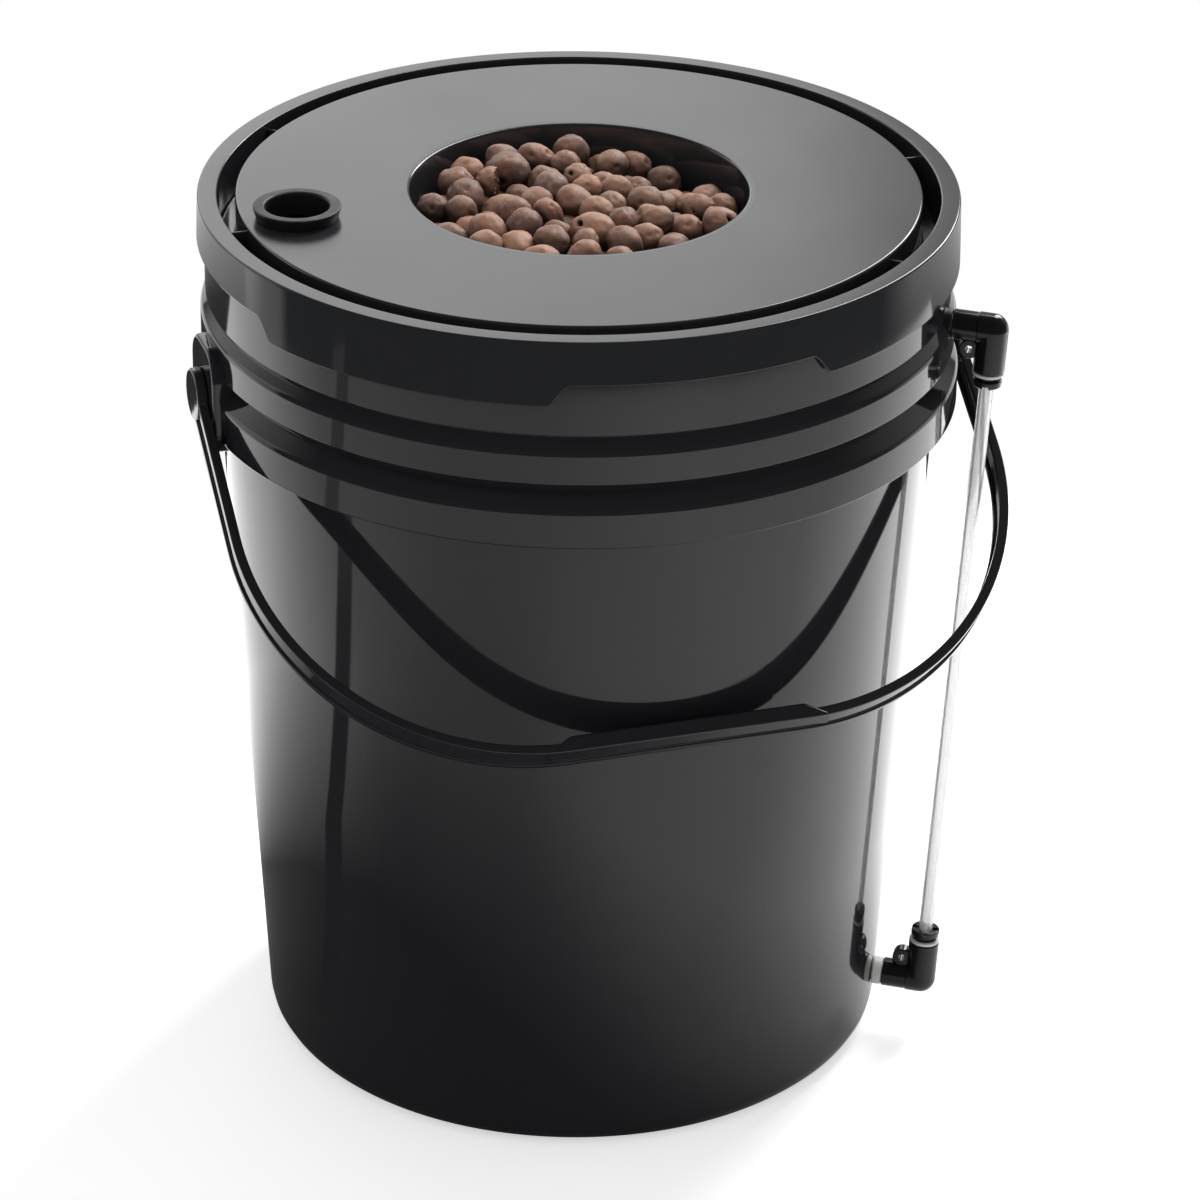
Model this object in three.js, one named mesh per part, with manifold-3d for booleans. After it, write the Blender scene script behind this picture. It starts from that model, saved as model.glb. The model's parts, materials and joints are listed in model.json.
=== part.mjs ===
// Deep water culture bucket: a round pail whose lid carries a slotted basket of clay pebbles, with a swinging
// bail handle, a sight tube that shows the water level and an air stone on the floor.
// Millimetres, +Z up. The origin is the centre of the pail's flat underside, and the sight tube is on the +X side.

import * as THREE from "three";
import { mergeVertices } from "three/addons/utils/BufferGeometryUtils.js";
import Module from "manifold-3d";

const wasm = await Module();
wasm.setup();

// Clearances
const seatGap = 0.3; // between pieces that sit on or in each other
const slipGap = 0.4; // between pieces that slide or lean on each other
const through = 1; // how far a cutting tool runs past the face it opens

// Pail
const pailHeight = 375;
const baseRadius = 131.6; // outside of the wall, carried down to the floor plane
const wallDraft = 0.0571; // gain in radius for each millimetre of height
const wallThickness = 2.3;
const floorThickness = 3;
const baseCorner = 10;

// Collar bands round the top of the pail, from the rim down
const topBandDrop = 37.5;
const upperGrooveDrop = 6.5;
const middleBandDrop = 13.7;
const lowerGrooveDrop = 10.5;
const lowerBandDrop = 15.8;
const middleBandProud = 4.6;
const lowerBandProud = 7.84;
const grooveSlopeShare = 0.7; // part of a groove's height taken by the slope below it
const apronThickness = 2.2; // wall of the lowest band, which is hollow from below
const apronRoof = 4;

// Handle ears
const earBearing = 17.5; // degrees from +X to the ear behind the sight tube
const earDrop = 69; // rim to pivot
const earWidth = 36;
const earTall = 46;
const earCorner = 12;
const earProud = 2.2; // ear face beyond the wider of the lid and the collar

// Bail handle
const pinRadius = 4.2;
const pinLength = 8.5;
const eyeRadius = 11;
const handleDrop = 183.5; // pivot to the middle of the grip
const handleCorner = 112;
const strapWidth = 13;
const webThickness = 2.2;
const beadThickness = 4;
const beadWidth = 2.8;
const gripLength = 118;
const gripDepth = 3; // how far the grip stands in from the strap
const gripRamp = 10;

// Lid
const lidPlate = 2.6;
const skirtThickness = 2;
const skirtPlay = 1; // pail rim to skirt
const skirtDeep = 27;
const skirtShallow = 18;
const skirtSlant = 7; // run of the slanted step between a deep and a shallow stretch
const shallowSpan = 38; // degrees
const shallowCount = 4;
const lidTurn = 17.5; // degrees from +X to the first rib
const moatDepth = 20;
const moatWidth = 7.2;
const moatFloor = 2.2;
const plugWall = 2;
const riserWall = 2;
const ribCount = 8;
const ribThickness = 1.6;
const ribSink = 3; // rib top below the rim

// Basket
const mouthRadius = 69;
const basketWall = 1.8;
const basketLip = 1.7;
const basketLipHeight = 1.2;
const basketDepth = 115;
const basketFootRadius = 52;
const basketFloor = 2.4;
const windowColumns = 18;
const windowRows = 3;
const windowWidth = 7;
const windowHeight = 22;
const windowPitch = 29;
const windowSill = 10; // basket floor to the lowest windows
const floorSlots = 9;
const floorSlotWidth = 6;
const floorSlotInner = 14;
const floorSlotEdge = 9; // outer end of a floor slot to the basket's foot

// Clay pebbles
const pebbleSink = 11; // deck to the middle of the outermost pebbles
const pebbleCrown = 2; // rise of the heap towards the middle
const pebbleRadius = 7.4;
const pebbleSpread = 0.6; // variation of the radius
const pebbleCount = 50;

// Lid grommet
const grommetBearing = 196.7; // degrees from +X
const grommetEdge = 4; // flange to the deck's edge
const grommetBore = 13;
const grommetNeckWall = 2;
const grommetFlange = 18;
const grommetFlangeTaper = 1.5;
const grommetFlangeHeight = 5;
const grommetLip = 1.6;
const grommetLipHeight = 2.4;

// Sight gauge
const gaugeBearing = -11; // degrees from +X
const gaugeTopDrop = 43.8; // rim to the upper elbow
const gaugeFoot = 22.5; // floor to the lower elbow
const gaugeStandoff = 21; // wall to the tube's middle
const tubeRadius = 3;
const tubeBore = 2;

// Push-fit elbows, measured along the leg from the elbow's corner
const elbowRadius = 6.5;
const sleeveRadius = 6.2;
const sleeveSeam = 6; // corner to the seam between body and sleeve
const legLength = 18.5;
const tubeStop = 5;
const sealSeat = 6.9;
const grabThickness = 0.7;
const grabTeeth = 8;
const grabSlot = 0.6;
const colletBore = 4.9;
const colletTravel = 1.5;
const colletFlangeRadius = 6;
const colletFlangeHeight = 3;
const colletNotches = 4;
const colletNotchWidth = 2.4;
const colletNotchDepth = 1.2;
const guideRingHeight = 1.3;
const lugRadius = 4.2;
const lugHole = 1.6;
const lugThickness = 5;
const lugBack = 8.6; // corner to the lug's middle, towards the wall
const lugDown = 9.4; // corner to the lug's middle, along the leg

// Wall fittings
const stemRadius = 4;
const stemInside = 11; // how far the stem runs in from the wall's outside
const stemGrip = 7; // how far the stem sits in the elbow's sleeve
const washerThickness = 4;
const washerRadius = 6;
const nutHeight = 5;
const nutFlats = 14;

// Air stone
const stoneRadius = 38;
const stoneHeight = 14;
const stoneEdge = 3;
const cupWall = 2;
const cupFloor = 3;
const cupHeight = 9;
const footHeight = 5;
const footRadius = 8;
const footDish = 1.5;
const footStem = 2.4;
const footStemLength = 2;
const footCircle = 28;
const footCount = 3;
const barbRadius = 2.6;
const barbBore = 1.4;
const barbRidge = 0.7;
const barbLength = 12;
const barbSeat = 4; // how far the barb sits in its boss
const barbBossRadius = 4.4;
const barbBossLength = 5;

// Facets round a full turn, and steps along a curve
const wideFacets = 48;
const basketFacets = 36;
const mediumFacets = 24;
const bedFacets = 18;
const smallFacets = 16;
const cornerSteps = 4;
const bendSteps = 12;
const earSteps = 4;
const skirtSteps = 6;

// Values that follow from the sizes above
const degrees = THREE.MathUtils.degToRad;
const draftAngle = Math.atan(wallDraft);
const wallRadius = (z) => baseRadius + wallDraft * z;
const cavityRadius = (z) => wallRadius(z) - wallThickness;

const topBandLow = pailHeight - topBandDrop;
const middleBandHigh = topBandLow - upperGrooveDrop;
const middleBandLow = middleBandHigh - middleBandDrop;
const lowerBandHigh = middleBandLow - lowerGrooveDrop;
const lowerBandLow = lowerBandHigh - lowerBandDrop;
const topBandRadius = wallRadius(pailHeight);
const middleBandRadius = wallRadius(middleBandHigh) + middleBandProud;
const lowerBandRadius = wallRadius(lowerBandHigh) + lowerBandProud;

const rimUnder = pailHeight + slipGap;
const lidTop = rimUnder + lidPlate;
const skirtInner = topBandRadius + skirtPlay;
const skirtOuter = skirtInner + skirtThickness;
const skirtLow = lidTop - skirtDeep;
const moatFloorTop = lidTop - moatDepth;
const lidFoot = moatFloorTop - moatFloor;
const plugRadius = cavityRadius(lidFoot) - slipGap;
const moatOuter = plugRadius - plugWall;
const deckRadius = moatOuter - moatWidth;

const neckRadius = mouthRadius + basketWall;
const basketHole = neckRadius + seatGap;
const lipRadius = neckRadius + basketLip;
const lipUnder = lidTop - basketLipHeight;
const basketFoot = lidTop - basketDepth;
const basketInside = basketFoot + basketFloor;
const basketSlope = (neckRadius - basketFootRadius) / (lipUnder - basketFoot);
const basketOuter = (z) => basketFootRadius + basketSlope * (z - basketFoot);
const basketInner = (z) => basketOuter(z) - basketWall;

const grommetNeck = grommetBore + grommetNeckWall;
const grommetOffset = deckRadius - grommetEdge - grommetFlange;
const grommetTurn = degrees(grommetBearing);

const earHeight = pailHeight - earDrop;
const earTurn = degrees(earBearing);
const earFace = Math.max(skirtOuter, lowerBandRadius) + earProud;
const halfSpan = earFace + slipGap + beadThickness / 2; // pail axis to the middle of the strap

const stemBore = stemRadius + seatGap;
const sleeveStart = seatGap + washerThickness + seatGap;
const stemEnd = sleeveStart + stemGrip;
const tubeHole = tubeRadius + seatGap;
const sealOuter = colletBore - seatGap;
const sealThickness = sealOuter - tubeHole;
const sealStart = sealSeat + seatGap;
const grabStart = sealStart + sealThickness + seatGap;
const colletStart = grabStart + grabThickness + seatGap + colletTravel;
const guideRingStart = legLength + seatGap;
const guideRingEnd = guideRingStart + guideRingHeight;
const colletFlangeStart = guideRingEnd + seatGap + colletTravel;
const colletEnd = colletFlangeStart + colletFlangeHeight;

const cupUnder = floorThickness + seatGap + footHeight;
const cupInside = cupUnder + cupFloor;
const cupBore = stoneRadius + seatGap;
const cupOuter = cupBore + cupWall;
const barbHeight = cupUnder + cupHeight / 2;
const barbStart = cupOuter + barbBossLength - barbSeat;

// Shapes. A section is a list of [radius, height] points that run anticlockwise.
function turned(section, facets = smallFacets) {
  const outline = section.map(([r, z]) => new THREE.Vector2(r, z));
  return new THREE.LatheGeometry(outline, facets).rotateX(Math.PI / 2);
}

function rod(radius, low, high, facets = smallFacets) {
  const section = [
    [0, low],
    [radius, low],
    [radius, high],
    [0, high],
  ];
  return turned(section, facets);
}

function ring(inner, outer, low, high) {
  const section = [
    [inner, low],
    [outer, low],
    [outer, high],
    [inner, high],
    [inner, low],
  ];
  return turned(section);
}

function arc(r, z, radius, from, to, steps = cornerSteps) {
  return Array.from({ length: steps + 1 }, (_, i) => {
    const turn = degrees(from + ((to - from) * i) / steps);
    return [r + radius * Math.cos(turn), z + radius * Math.sin(turn)];
  });
}

function extruded(shape, depth, steps = 1) {
  return new THREE.ExtrudeGeometry(shape, { depth, bevelEnabled: false, curveSegments: steps });
}

const block = (x, y, z) => new THREE.BoxGeometry(x, y, z);
const alongX = (geometry) => geometry.rotateY(Math.PI / 2);
const around = (count, make) => Array.from({ length: count }, (_, i) => make((2 * Math.PI * i) / count));

// Stands a flat outline upright: its width runs along +Y, its height along +Z and its depth along +X
const uprightBasis = new THREE.Matrix4().makeBasis(
  new THREE.Vector3(0, 1, 0),
  new THREE.Vector3(0, 0, 1),
  new THREE.Vector3(1, 0, 0),
);
const upright = (geometry) => geometry.applyMatrix4(uprightBasis);

// Joins and cuts
function solid(geometry) {
  const bare = new THREE.BufferGeometry();
  bare.setAttribute("position", geometry.getAttribute("position"));
  bare.setIndex(geometry.getIndex());
  const merged = mergeVertices(bare);
  const vertProperties = merged.getAttribute("position").array;
  const triVerts = new Uint32Array(merged.getIndex().array);
  return new wasm.Manifold(new wasm.Mesh({ numProp: 3, vertProperties, triVerts }));
}

function shaped(bodies, cutters = []) {
  const whole = bodies.map(solid).reduce((body, next) => body.add(next));
  const cut = cutters.map(solid).reduce((body, tool) => body.subtract(tool), whole);
  const { vertProperties, triVerts } = cut.getMesh();
  const geometry = new THREE.BufferGeometry();
  geometry.setAttribute("position", new THREE.BufferAttribute(vertProperties, 3));
  geometry.setIndex(new THREE.BufferAttribute(triVerts, 1));
  geometry.computeVertexNormals();
  return geometry;
}

// Finishes
const blackGloss = { color: 0x17181a, roughness: 0.12 };
const lidGloss = { color: 0x1d1e20, roughness: 0.2 };
const blackRubber = { color: 0x1b1b1c, roughness: 0.6 };
const fittingBlack = { color: 0x121214, roughness: 0.35 };
const offWhite = { color: 0xd9d4c8, roughness: 0.45 };
const clearTube = { color: 0xeef1f2, roughness: 0.08 };
const springSteel = { color: 0xb9bcc0, roughness: 0.3, metalness: 1 };
const clay = { color: 0x6b4334, roughness: 0.9 };
const stoneGrey = { color: 0x8b8f92, roughness: 0.95 };
const pumpBlue = { color: 0x2c4d6e, roughness: 0.4 };

function piece(name, geometry, finish) {
  const mesh = new THREE.Mesh(geometry, new THREE.MeshStandardMaterial(finish));
  mesh.name = name;
  return mesh;
}

const assembly = new THREE.Group();

// The gauge's own +X points straight out of the pail's wall and its +Z runs up along the wall
const gaugePlane = new THREE.Group();
gaugePlane.rotation.z = degrees(gaugeBearing);
const gauge = new THREE.Group();
gauge.position.x = baseRadius;
gauge.rotation.y = draftAngle;
gaugePlane.add(gauge);
assembly.add(gaugePlane);
assembly.updateMatrixWorld(true);

const alongWall = (height) => (height + gaugeStandoff * Math.sin(draftAngle)) / Math.cos(draftAngle);
const upperElbowUp = alongWall(pailHeight - gaugeTopDrop);
const lowerElbowUp = alongWall(gaugeFoot);

// Pail: a solid of its outside with two ears, less its inside, the pin sockets and the stem holes
function pailOutside() {
  const middleSlopeTop = middleBandHigh + upperGrooveDrop * grooveSlopeShare;
  const lowerSlopeTop = lowerBandHigh + lowerGrooveDrop * grooveSlopeShare;
  const apronTop = lowerBandHigh - apronRoof;
  const apronInner = lowerBandRadius - apronThickness;
  const section = [
    [0, 0],
    ...arc(wallRadius(baseCorner) - baseCorner, baseCorner, baseCorner, -90, 0),
    [wallRadius(apronTop), apronTop],
    [apronInner, apronTop],
    [apronInner, lowerBandLow],
    [lowerBandRadius, lowerBandLow],
    [lowerBandRadius, lowerBandHigh],
    [wallRadius(lowerSlopeTop), lowerSlopeTop],
    [wallRadius(middleBandLow), middleBandLow],
    [middleBandRadius, middleBandLow],
    [middleBandRadius, middleBandHigh],
    [wallRadius(middleSlopeTop), middleSlopeTop],
    [wallRadius(topBandLow), topBandLow],
    [topBandRadius, topBandLow],
    [topBandRadius, pailHeight],
    [0, pailHeight],
  ];
  return turned(section, wideFacets);
}

function pailInside() {
  const corner = baseCorner - wallThickness;
  const section = [
    [0, floorThickness],
    ...arc(cavityRadius(baseCorner) - corner, floorThickness + corner, corner, -90, 0),
    [cavityRadius(pailHeight + through), pailHeight + through],
    [0, pailHeight + through],
  ];
  return turned(section, wideFacets);
}

function earOutline() {
  const x = earWidth / 2 - earCorner;
  const y = earTall / 2 - earCorner;
  const shape = new THREE.Shape();
  shape.absarc(x, -y, earCorner, -Math.PI / 2, 0);
  shape.absarc(x, y, earCorner, 0, Math.PI / 2);
  shape.absarc(-x, y, earCorner, Math.PI / 2, Math.PI);
  shape.absarc(-x, -y, earCorner, Math.PI, 1.5 * Math.PI);
  return shape;
}

function pailGeometry() {
  const onEar = (geometry, turn) => geometry.rotateZ(earTurn + turn).translate(0, 0, earHeight);
  const earRoot = cavityRadius(earHeight) - earWidth / 2;
  const ears = around(2, (turn) => {
    const boss = upright(extruded(earOutline(), earFace - earRoot, earSteps));
    return onEar(boss.translate(earRoot, 0, 0), turn);
  });
  const sockets = around(2, (turn) => {
    const bore = rod(pinRadius + seatGap, earFace - pinLength - slipGap, earFace + through);
    return onEar(alongX(bore), turn);
  });
  const stemHoles = [upperElbowUp, lowerElbowUp].map((up) => {
    const bore = alongX(rod(stemBore, -stemInside, gaugeStandoff)).translate(0, 0, up);
    return bore.applyMatrix4(gauge.matrixWorld);
  });
  // The upper washer's seat is cut flat into the collar
  const seat = alongX(rod(washerRadius + slipGap, 0, gaugeStandoff)).translate(0, 0, upperElbowUp);
  const seatCut = seat.applyMatrix4(gauge.matrixWorld);
  return shaped([pailOutside(), ...ears], [pailInside(), ...sockets, ...stemHoles, seatCut]);
}
assembly.add(piece("bucket", pailGeometry(), blackGloss));

// Lid
function lidBody() {
  const riserInner = deckRadius - riserWall;
  const rebate = lipRadius + seatGap;
  const ledge = lipUnder - seatGap;
  const section = [
    [basketHole, rimUnder],
    [riserInner, rimUnder],
    [riserInner, lidFoot],
    [plugRadius, lidFoot],
    [plugRadius, rimUnder],
    [skirtInner, rimUnder],
    [skirtInner, skirtLow],
    [skirtOuter, skirtLow],
    [skirtOuter, lidTop],
    [moatOuter, lidTop],
    [moatOuter, moatFloorTop],
    [deckRadius, moatFloorTop],
    [deckRadius, lidTop],
    [rebate, lidTop],
    [rebate, ledge],
    [basketHole, ledge],
    [basketHole, rimUnder],
  ];
  return turned(section, wideFacets);
}

function moatRibs() {
  const low = lidFoot + moatFloor / 2;
  const high = lidTop - ribSink;
  const reach = moatWidth + (plugWall + riserWall) / 2; // half a wall deep into each side
  return around(ribCount, (turn) => {
    const rib = block(reach, ribThickness, high - low);
    return rib.translate((moatOuter + deckRadius) / 2, 0, (low + high) / 2).rotateZ(degrees(lidTurn) + turn);
  });
}

// A shallow stretch of the skirt: an arched cut with a slanted end on each side
function skirtCuts() {
  const rise = skirtDeep - skirtShallow;
  const inner = plugRadius + slipGap;
  const outer = skirtOuter + through;
  const half = degrees(shallowSpan / 2);
  const sector = new THREE.Shape();
  sector.absarc(0, 0, outer, -half, half);
  sector.absarc(0, 0, inner, half, -half, true);
  const slant = new THREE.Shape([
    new THREE.Vector2(-through, -through),
    new THREE.Vector2(skirtSlant * (1 + through / rise), -through),
    new THREE.Vector2(0, rise),
    new THREE.Vector2(-through, rise),
  ]);
  return around(shallowCount, (turn) => {
    const arch = extruded(sector, rise + through, skirtSteps).translate(0, 0, skirtLow - through);
    const left = upright(extruded(slant, outer - inner)).translate(inner, 0, skirtLow);
    const right = upright(extruded(slant, outer - inner)).rotateZ(Math.PI).translate(outer, 0, skirtLow);
    const tools = [arch, left.rotateZ(half), right.rotateZ(-half)];
    return tools.map((tool) => tool.rotateZ(degrees(lidTurn) + turn));
  }).flat();
}

function lidGeometry() {
  const bore = rod(grommetNeck + seatGap, rimUnder - through, lidTop + through);
  const grommetCut = bore.translate(grommetOffset, 0, 0).rotateZ(grommetTurn);
  return shaped([lidBody(), ...moatRibs()], [...skirtCuts(), grommetCut]);
}
assembly.add(piece("lid", lidGeometry(), lidGloss));

// Basket
function basketGeometry() {
  const section = [
    [0, basketFoot],
    [basketFootRadius, basketFoot],
    [neckRadius, lipUnder],
    [lipRadius, lipUnder],
    [lipRadius, lidTop],
    [basketInner(lidTop), lidTop],
    [basketInner(basketInside), basketInside],
    [0, basketInside],
  ];
  const facetMiddle = Math.PI / basketFacets;
  const rows = Array.from({ length: windowRows }, (_, row) => {
    const middle = basketInside + windowSill + windowHeight / 2 + windowPitch * row;
    const depth = 2 * (basketWall + basketSlope * windowHeight);
    const place = basketOuter(middle) - basketWall / 2;
    return around(windowColumns, (turn) => {
      const opening = block(depth, windowWidth, windowHeight).translate(place, 0, middle);
      return opening.rotateZ(facetMiddle + turn);
    });
  });
  const slotOuter = basketFootRadius - floorSlotEdge;
  const slots = around(floorSlots, (turn) => {
    const slot = block(slotOuter - floorSlotInner, floorSlotWidth, 2 * basketFloor + through);
    return slot.translate((slotOuter + floorSlotInner) / 2, 0, basketFoot + basketFloor / 2).rotateZ(turn);
  });
  return shaped([turned(section, basketFacets)], [...rows.flat(), ...slots]);
}
assembly.add(piece("net_basket", basketGeometry(), lidGloss));

// Clay pebbles: one bed whose top layer is set out on a sunflower spiral
function pebbleGeometry() {
  const goldenTurn = Math.PI * (3 - Math.sqrt(5));
  const edge = lidTop - pebbleSink;
  const flats = Math.cos(Math.PI / basketFacets);
  const bedLow = basketInside + seatGap;
  const bedRadius = (z) => basketInner(z) - slipGap;
  const bedEdge = edge - pebbleRadius / 3;
  const heap = [
    [0, bedLow],
    [bedRadius(bedLow), bedLow],
    [bedRadius(bedEdge), bedEdge],
    [0, bedEdge + pebbleCrown],
  ];
  const pebbles = Array.from({ length: pebbleCount }, (_, i) => {
    const radius = pebbleRadius + pebbleSpread * Math.sin(7 * i);
    const share = Math.sqrt((i + 0.5) / pebbleCount);
    const out = share * (basketInner(edge - radius) * flats - slipGap - radius);
    const up = edge + pebbleCrown * (1 - share * share) + pebbleSpread * Math.sin(11 * i);
    const ball = new THREE.DodecahedronGeometry(radius).rotateX(i).rotateZ(2 * i);
    return ball.translate(out, 0, up).rotateZ(goldenTurn * i);
  });
  return shaped([turned(heap, bedFacets), ...pebbles]);
}
assembly.add(piece("clay_pebbles", pebbleGeometry(), clay));

// Lid grommet: a top hat with a lip below the deck
function grommetGeometry() {
  const flangeLow = lidTop + seatGap / 2;
  const lipHigh = rimUnder - seatGap / 2;
  const section = [
    [grommetBore, lipHigh - grommetLipHeight],
    [grommetNeck, lipHigh - grommetLipHeight],
    [grommetNeck + grommetLip, lipHigh],
    [grommetNeck, lipHigh],
    [grommetNeck, flangeLow],
    [grommetFlange - grommetFlangeTaper, flangeLow],
    [grommetFlange, flangeLow + grommetFlangeHeight],
    [grommetBore, flangeLow + grommetFlangeHeight],
    [grommetBore, lipHigh - grommetLipHeight],
  ];
  return turned(section, mediumFacets).translate(grommetOffset, 0, 0).rotateZ(grommetTurn);
}
assembly.add(piece("lid_grommet", grommetGeometry(), blackRubber));

// Bail handle, drawn flat: +X along the pivot axis, +Y from the pivot to the grip
function bailStrip(thickness, width, start) {
  const straight = halfSpan - handleCorner;
  const bendY = handleDrop - handleCorner;
  const outer = handleCorner + thickness / 2;
  const inner = handleCorner - thickness / 2;
  const shape = new THREE.Shape();
  shape.moveTo(-straight - outer, 0);
  shape.absarc(-straight, bendY, outer, Math.PI, Math.PI / 2, true);
  shape.absarc(straight, bendY, outer, Math.PI / 2, 0, true);
  shape.lineTo(straight + outer, 0);
  shape.lineTo(straight + inner, 0);
  shape.absarc(straight, bendY, inner, 0, Math.PI / 2);
  shape.absarc(-straight, bendY, inner, Math.PI / 2, Math.PI);
  shape.lineTo(-straight - inner, 0);
  return extruded(shape, width, bendSteps).translate(0, 0, start);
}

function handleGeometry() {
  const edge = strapWidth / 2;
  const gripInner = handleDrop - beadThickness / 2 - gripDepth;
  const grip = new THREE.Shape([
    new THREE.Vector2(-gripLength / 2, handleDrop),
    new THREE.Vector2(gripRamp - gripLength / 2, gripInner),
    new THREE.Vector2(gripLength / 2 - gripRamp, gripInner),
    new THREE.Vector2(gripLength / 2, handleDrop),
  ]);
  const ends = around(2, (turn) => {
    const eye = rod(eyeRadius, halfSpan - beadThickness / 2, halfSpan + beadThickness / 2);
    const pin = rod(pinRadius, earFace - pinLength, halfSpan);
    return [alongX(eye).rotateZ(turn), alongX(pin).rotateZ(turn)];
  });
  return shaped([
    bailStrip(webThickness, strapWidth, -edge),
    bailStrip(beadThickness, beadWidth, -edge),
    bailStrip(beadThickness, beadWidth, edge - beadWidth),
    extruded(grip, strapWidth).translate(0, 0, -edge),
    ...ends.flat(),
  ]);
}

// The bail hangs until the inner edge of its grip meets the wall: its lean from the vertical follows from that
function handleLean() {
  const reach = handleDrop - beadThickness / 2 - gripDepth;
  const a = reach + (wallDraft * strapWidth) / 2;
  const b = wallDraft * reach - strapWidth / 2;
  return Math.asin((wallRadius(earHeight) + slipGap) / Math.hypot(a, b)) - Math.atan2(b, a);
}

const handle = piece("handle", handleGeometry(), blackGloss);
const lean = handleLean();
const pivotAxis = new THREE.Vector3(Math.cos(earTurn), Math.sin(earTurn), 0);
const hangs = new THREE.Vector3(
  Math.sin(earTurn) * Math.sin(lean),
  -Math.cos(earTurn) * Math.sin(lean),
  -Math.cos(lean),
);
const handlePlane = new THREE.Vector3().crossVectors(pivotAxis, hangs);
handle.setRotationFromMatrix(new THREE.Matrix4().makeBasis(pivotAxis, hangs, handlePlane));
handle.position.z = earHeight;
assembly.add(handle);

// Elbow fittings. Each is drawn as the upper one: the wall's face is at x = 0 and the leg runs down from the corner.
const onLeg = (geometry) => geometry.rotateX(Math.PI).translate(gaugeStandoff, 0, 0);

function elbowGeometry() {
  const seam = gaugeStandoff - sleeveSeam;
  const lugPlace = (geometry) => geometry.rotateX(Math.PI / 2).translate(gaugeStandoff - lugBack, 0, -lugDown);
  const bodies = [
    alongX(rod(sleeveRadius, sleeveStart, gaugeStandoff)),
    alongX(rod(elbowRadius, seam, gaugeStandoff)),
    new THREE.SphereGeometry(elbowRadius, smallFacets, smallFacets / 2).translate(gaugeStandoff, 0, 0),
    onLeg(rod(elbowRadius, 0, legLength)),
    lugPlace(rod(lugRadius, -lugThickness / 2, lugThickness / 2)),
  ];
  const bores = [
    onLeg(rod(colletBore, sealSeat, legLength + through)),
    onLeg(rod(tubeHole, tubeStop, sealSeat + through)),
    onLeg(rod(tubeBore, 0, tubeStop + through)),
    alongX(rod(tubeBore, stemEnd, gaugeStandoff)),
    alongX(rod(stemBore, sleeveStart - through, stemEnd + seatGap)),
    lugPlace(rod(lugHole, -lugThickness, lugThickness)),
  ];
  return shaped(bodies, bores);
}

function locknutGeometry() {
  const corner = nutFlats / Math.sqrt(3);
  const facetSag = wallRadius(0) * (1 - Math.cos(Math.PI / wideFacets));
  const curveSag = (corner * corner) / (2 * cavityRadius(0));
  const face = -wallThickness / Math.cos(draftAngle) - seatGap - facetSag - curveSag;
  const hexagon = alongX(rod(corner, face - nutHeight, face, 6));
  return shaped([hexagon], [alongX(rod(stemBore, face - nutHeight - through, face + through))]);
}

function colletGeometry() {
  const section = [
    [tubeHole, colletStart],
    [sealOuter, colletStart],
    [sealOuter, colletFlangeStart],
    [colletFlangeRadius, colletFlangeStart],
    [colletFlangeRadius, colletEnd],
    [tubeHole, colletEnd],
    [tubeHole, colletStart],
  ];
  const notches = around(colletNotches, (turn) => {
    const notch = block(2 * colletFlangeRadius, colletNotchWidth, 2 * colletNotchDepth);
    return notch.translate(colletFlangeRadius, 0, colletEnd).rotateZ(turn);
  });
  return onLeg(shaped([turned(section)], notches));
}

function sealGeometry() {
  const middle = (tubeHole + sealOuter) / 2;
  const section = arc(middle, sealStart + sealThickness / 2, sealThickness / 2, 0, 360, 6);
  return onLeg(turned(section));
}

function grabRingGeometry() {
  const slots = around(grabTeeth, (turn) => {
    const slot = block(sealThickness, grabSlot, 3 * grabThickness);
    return slot.translate(tubeHole, 0, grabStart).rotateZ(turn);
  });
  return onLeg(shaped([ring(tubeHole, sealOuter, grabStart, grabStart + grabThickness)], slots));
}

function fitting(name, up, upsideDown, washerFinish) {
  const group = new THREE.Group();
  group.position.z = up;
  group.rotation.x = upsideDown ? Math.PI : 0;
  const washer = ring(stemBore, washerRadius, seatGap, seatGap + washerThickness);
  const stem = ring(tubeBore, stemRadius, -stemInside, stemEnd);
  const guideRing = ring(colletBore, elbowRadius, guideRingStart, guideRingEnd);
  group.add(
    piece(`${name}_elbow`, elbowGeometry(), fittingBlack),
    piece(`${name}_stem`, alongX(stem), offWhite),
    piece(`${name}_washer`, alongX(washer), washerFinish),
    piece(`${name}_locknut`, locknutGeometry(), fittingBlack),
    piece(`${name}_o_ring`, sealGeometry(), blackRubber),
    piece(`${name}_grab_ring`, grabRingGeometry(), springSteel),
    piece(`${name}_guide_ring`, onLeg(guideRing), offWhite),
    piece(`${name}_collet`, colletGeometry(), fittingBlack),
  );
  return group;
}
gauge.add(fitting("upper", upperElbowUp, false, blackRubber));
gauge.add(fitting("lower", lowerElbowUp, true, offWhite));

const tubeEnd = tubeStop + seatGap;
const tube = ring(tubeBore, tubeRadius, lowerElbowUp + tubeEnd, upperElbowUp - tubeEnd);
gauge.add(piece("sight_tube", tube.translate(gaugeStandoff, 0, 0), clearTube));

// Air stone: a porous disc in a cup on three suction feet, with a barb that faces the lid's grommet
const bubbler = new THREE.Group();
bubbler.rotation.z = grommetTurn;
assembly.add(bubbler);

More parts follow.
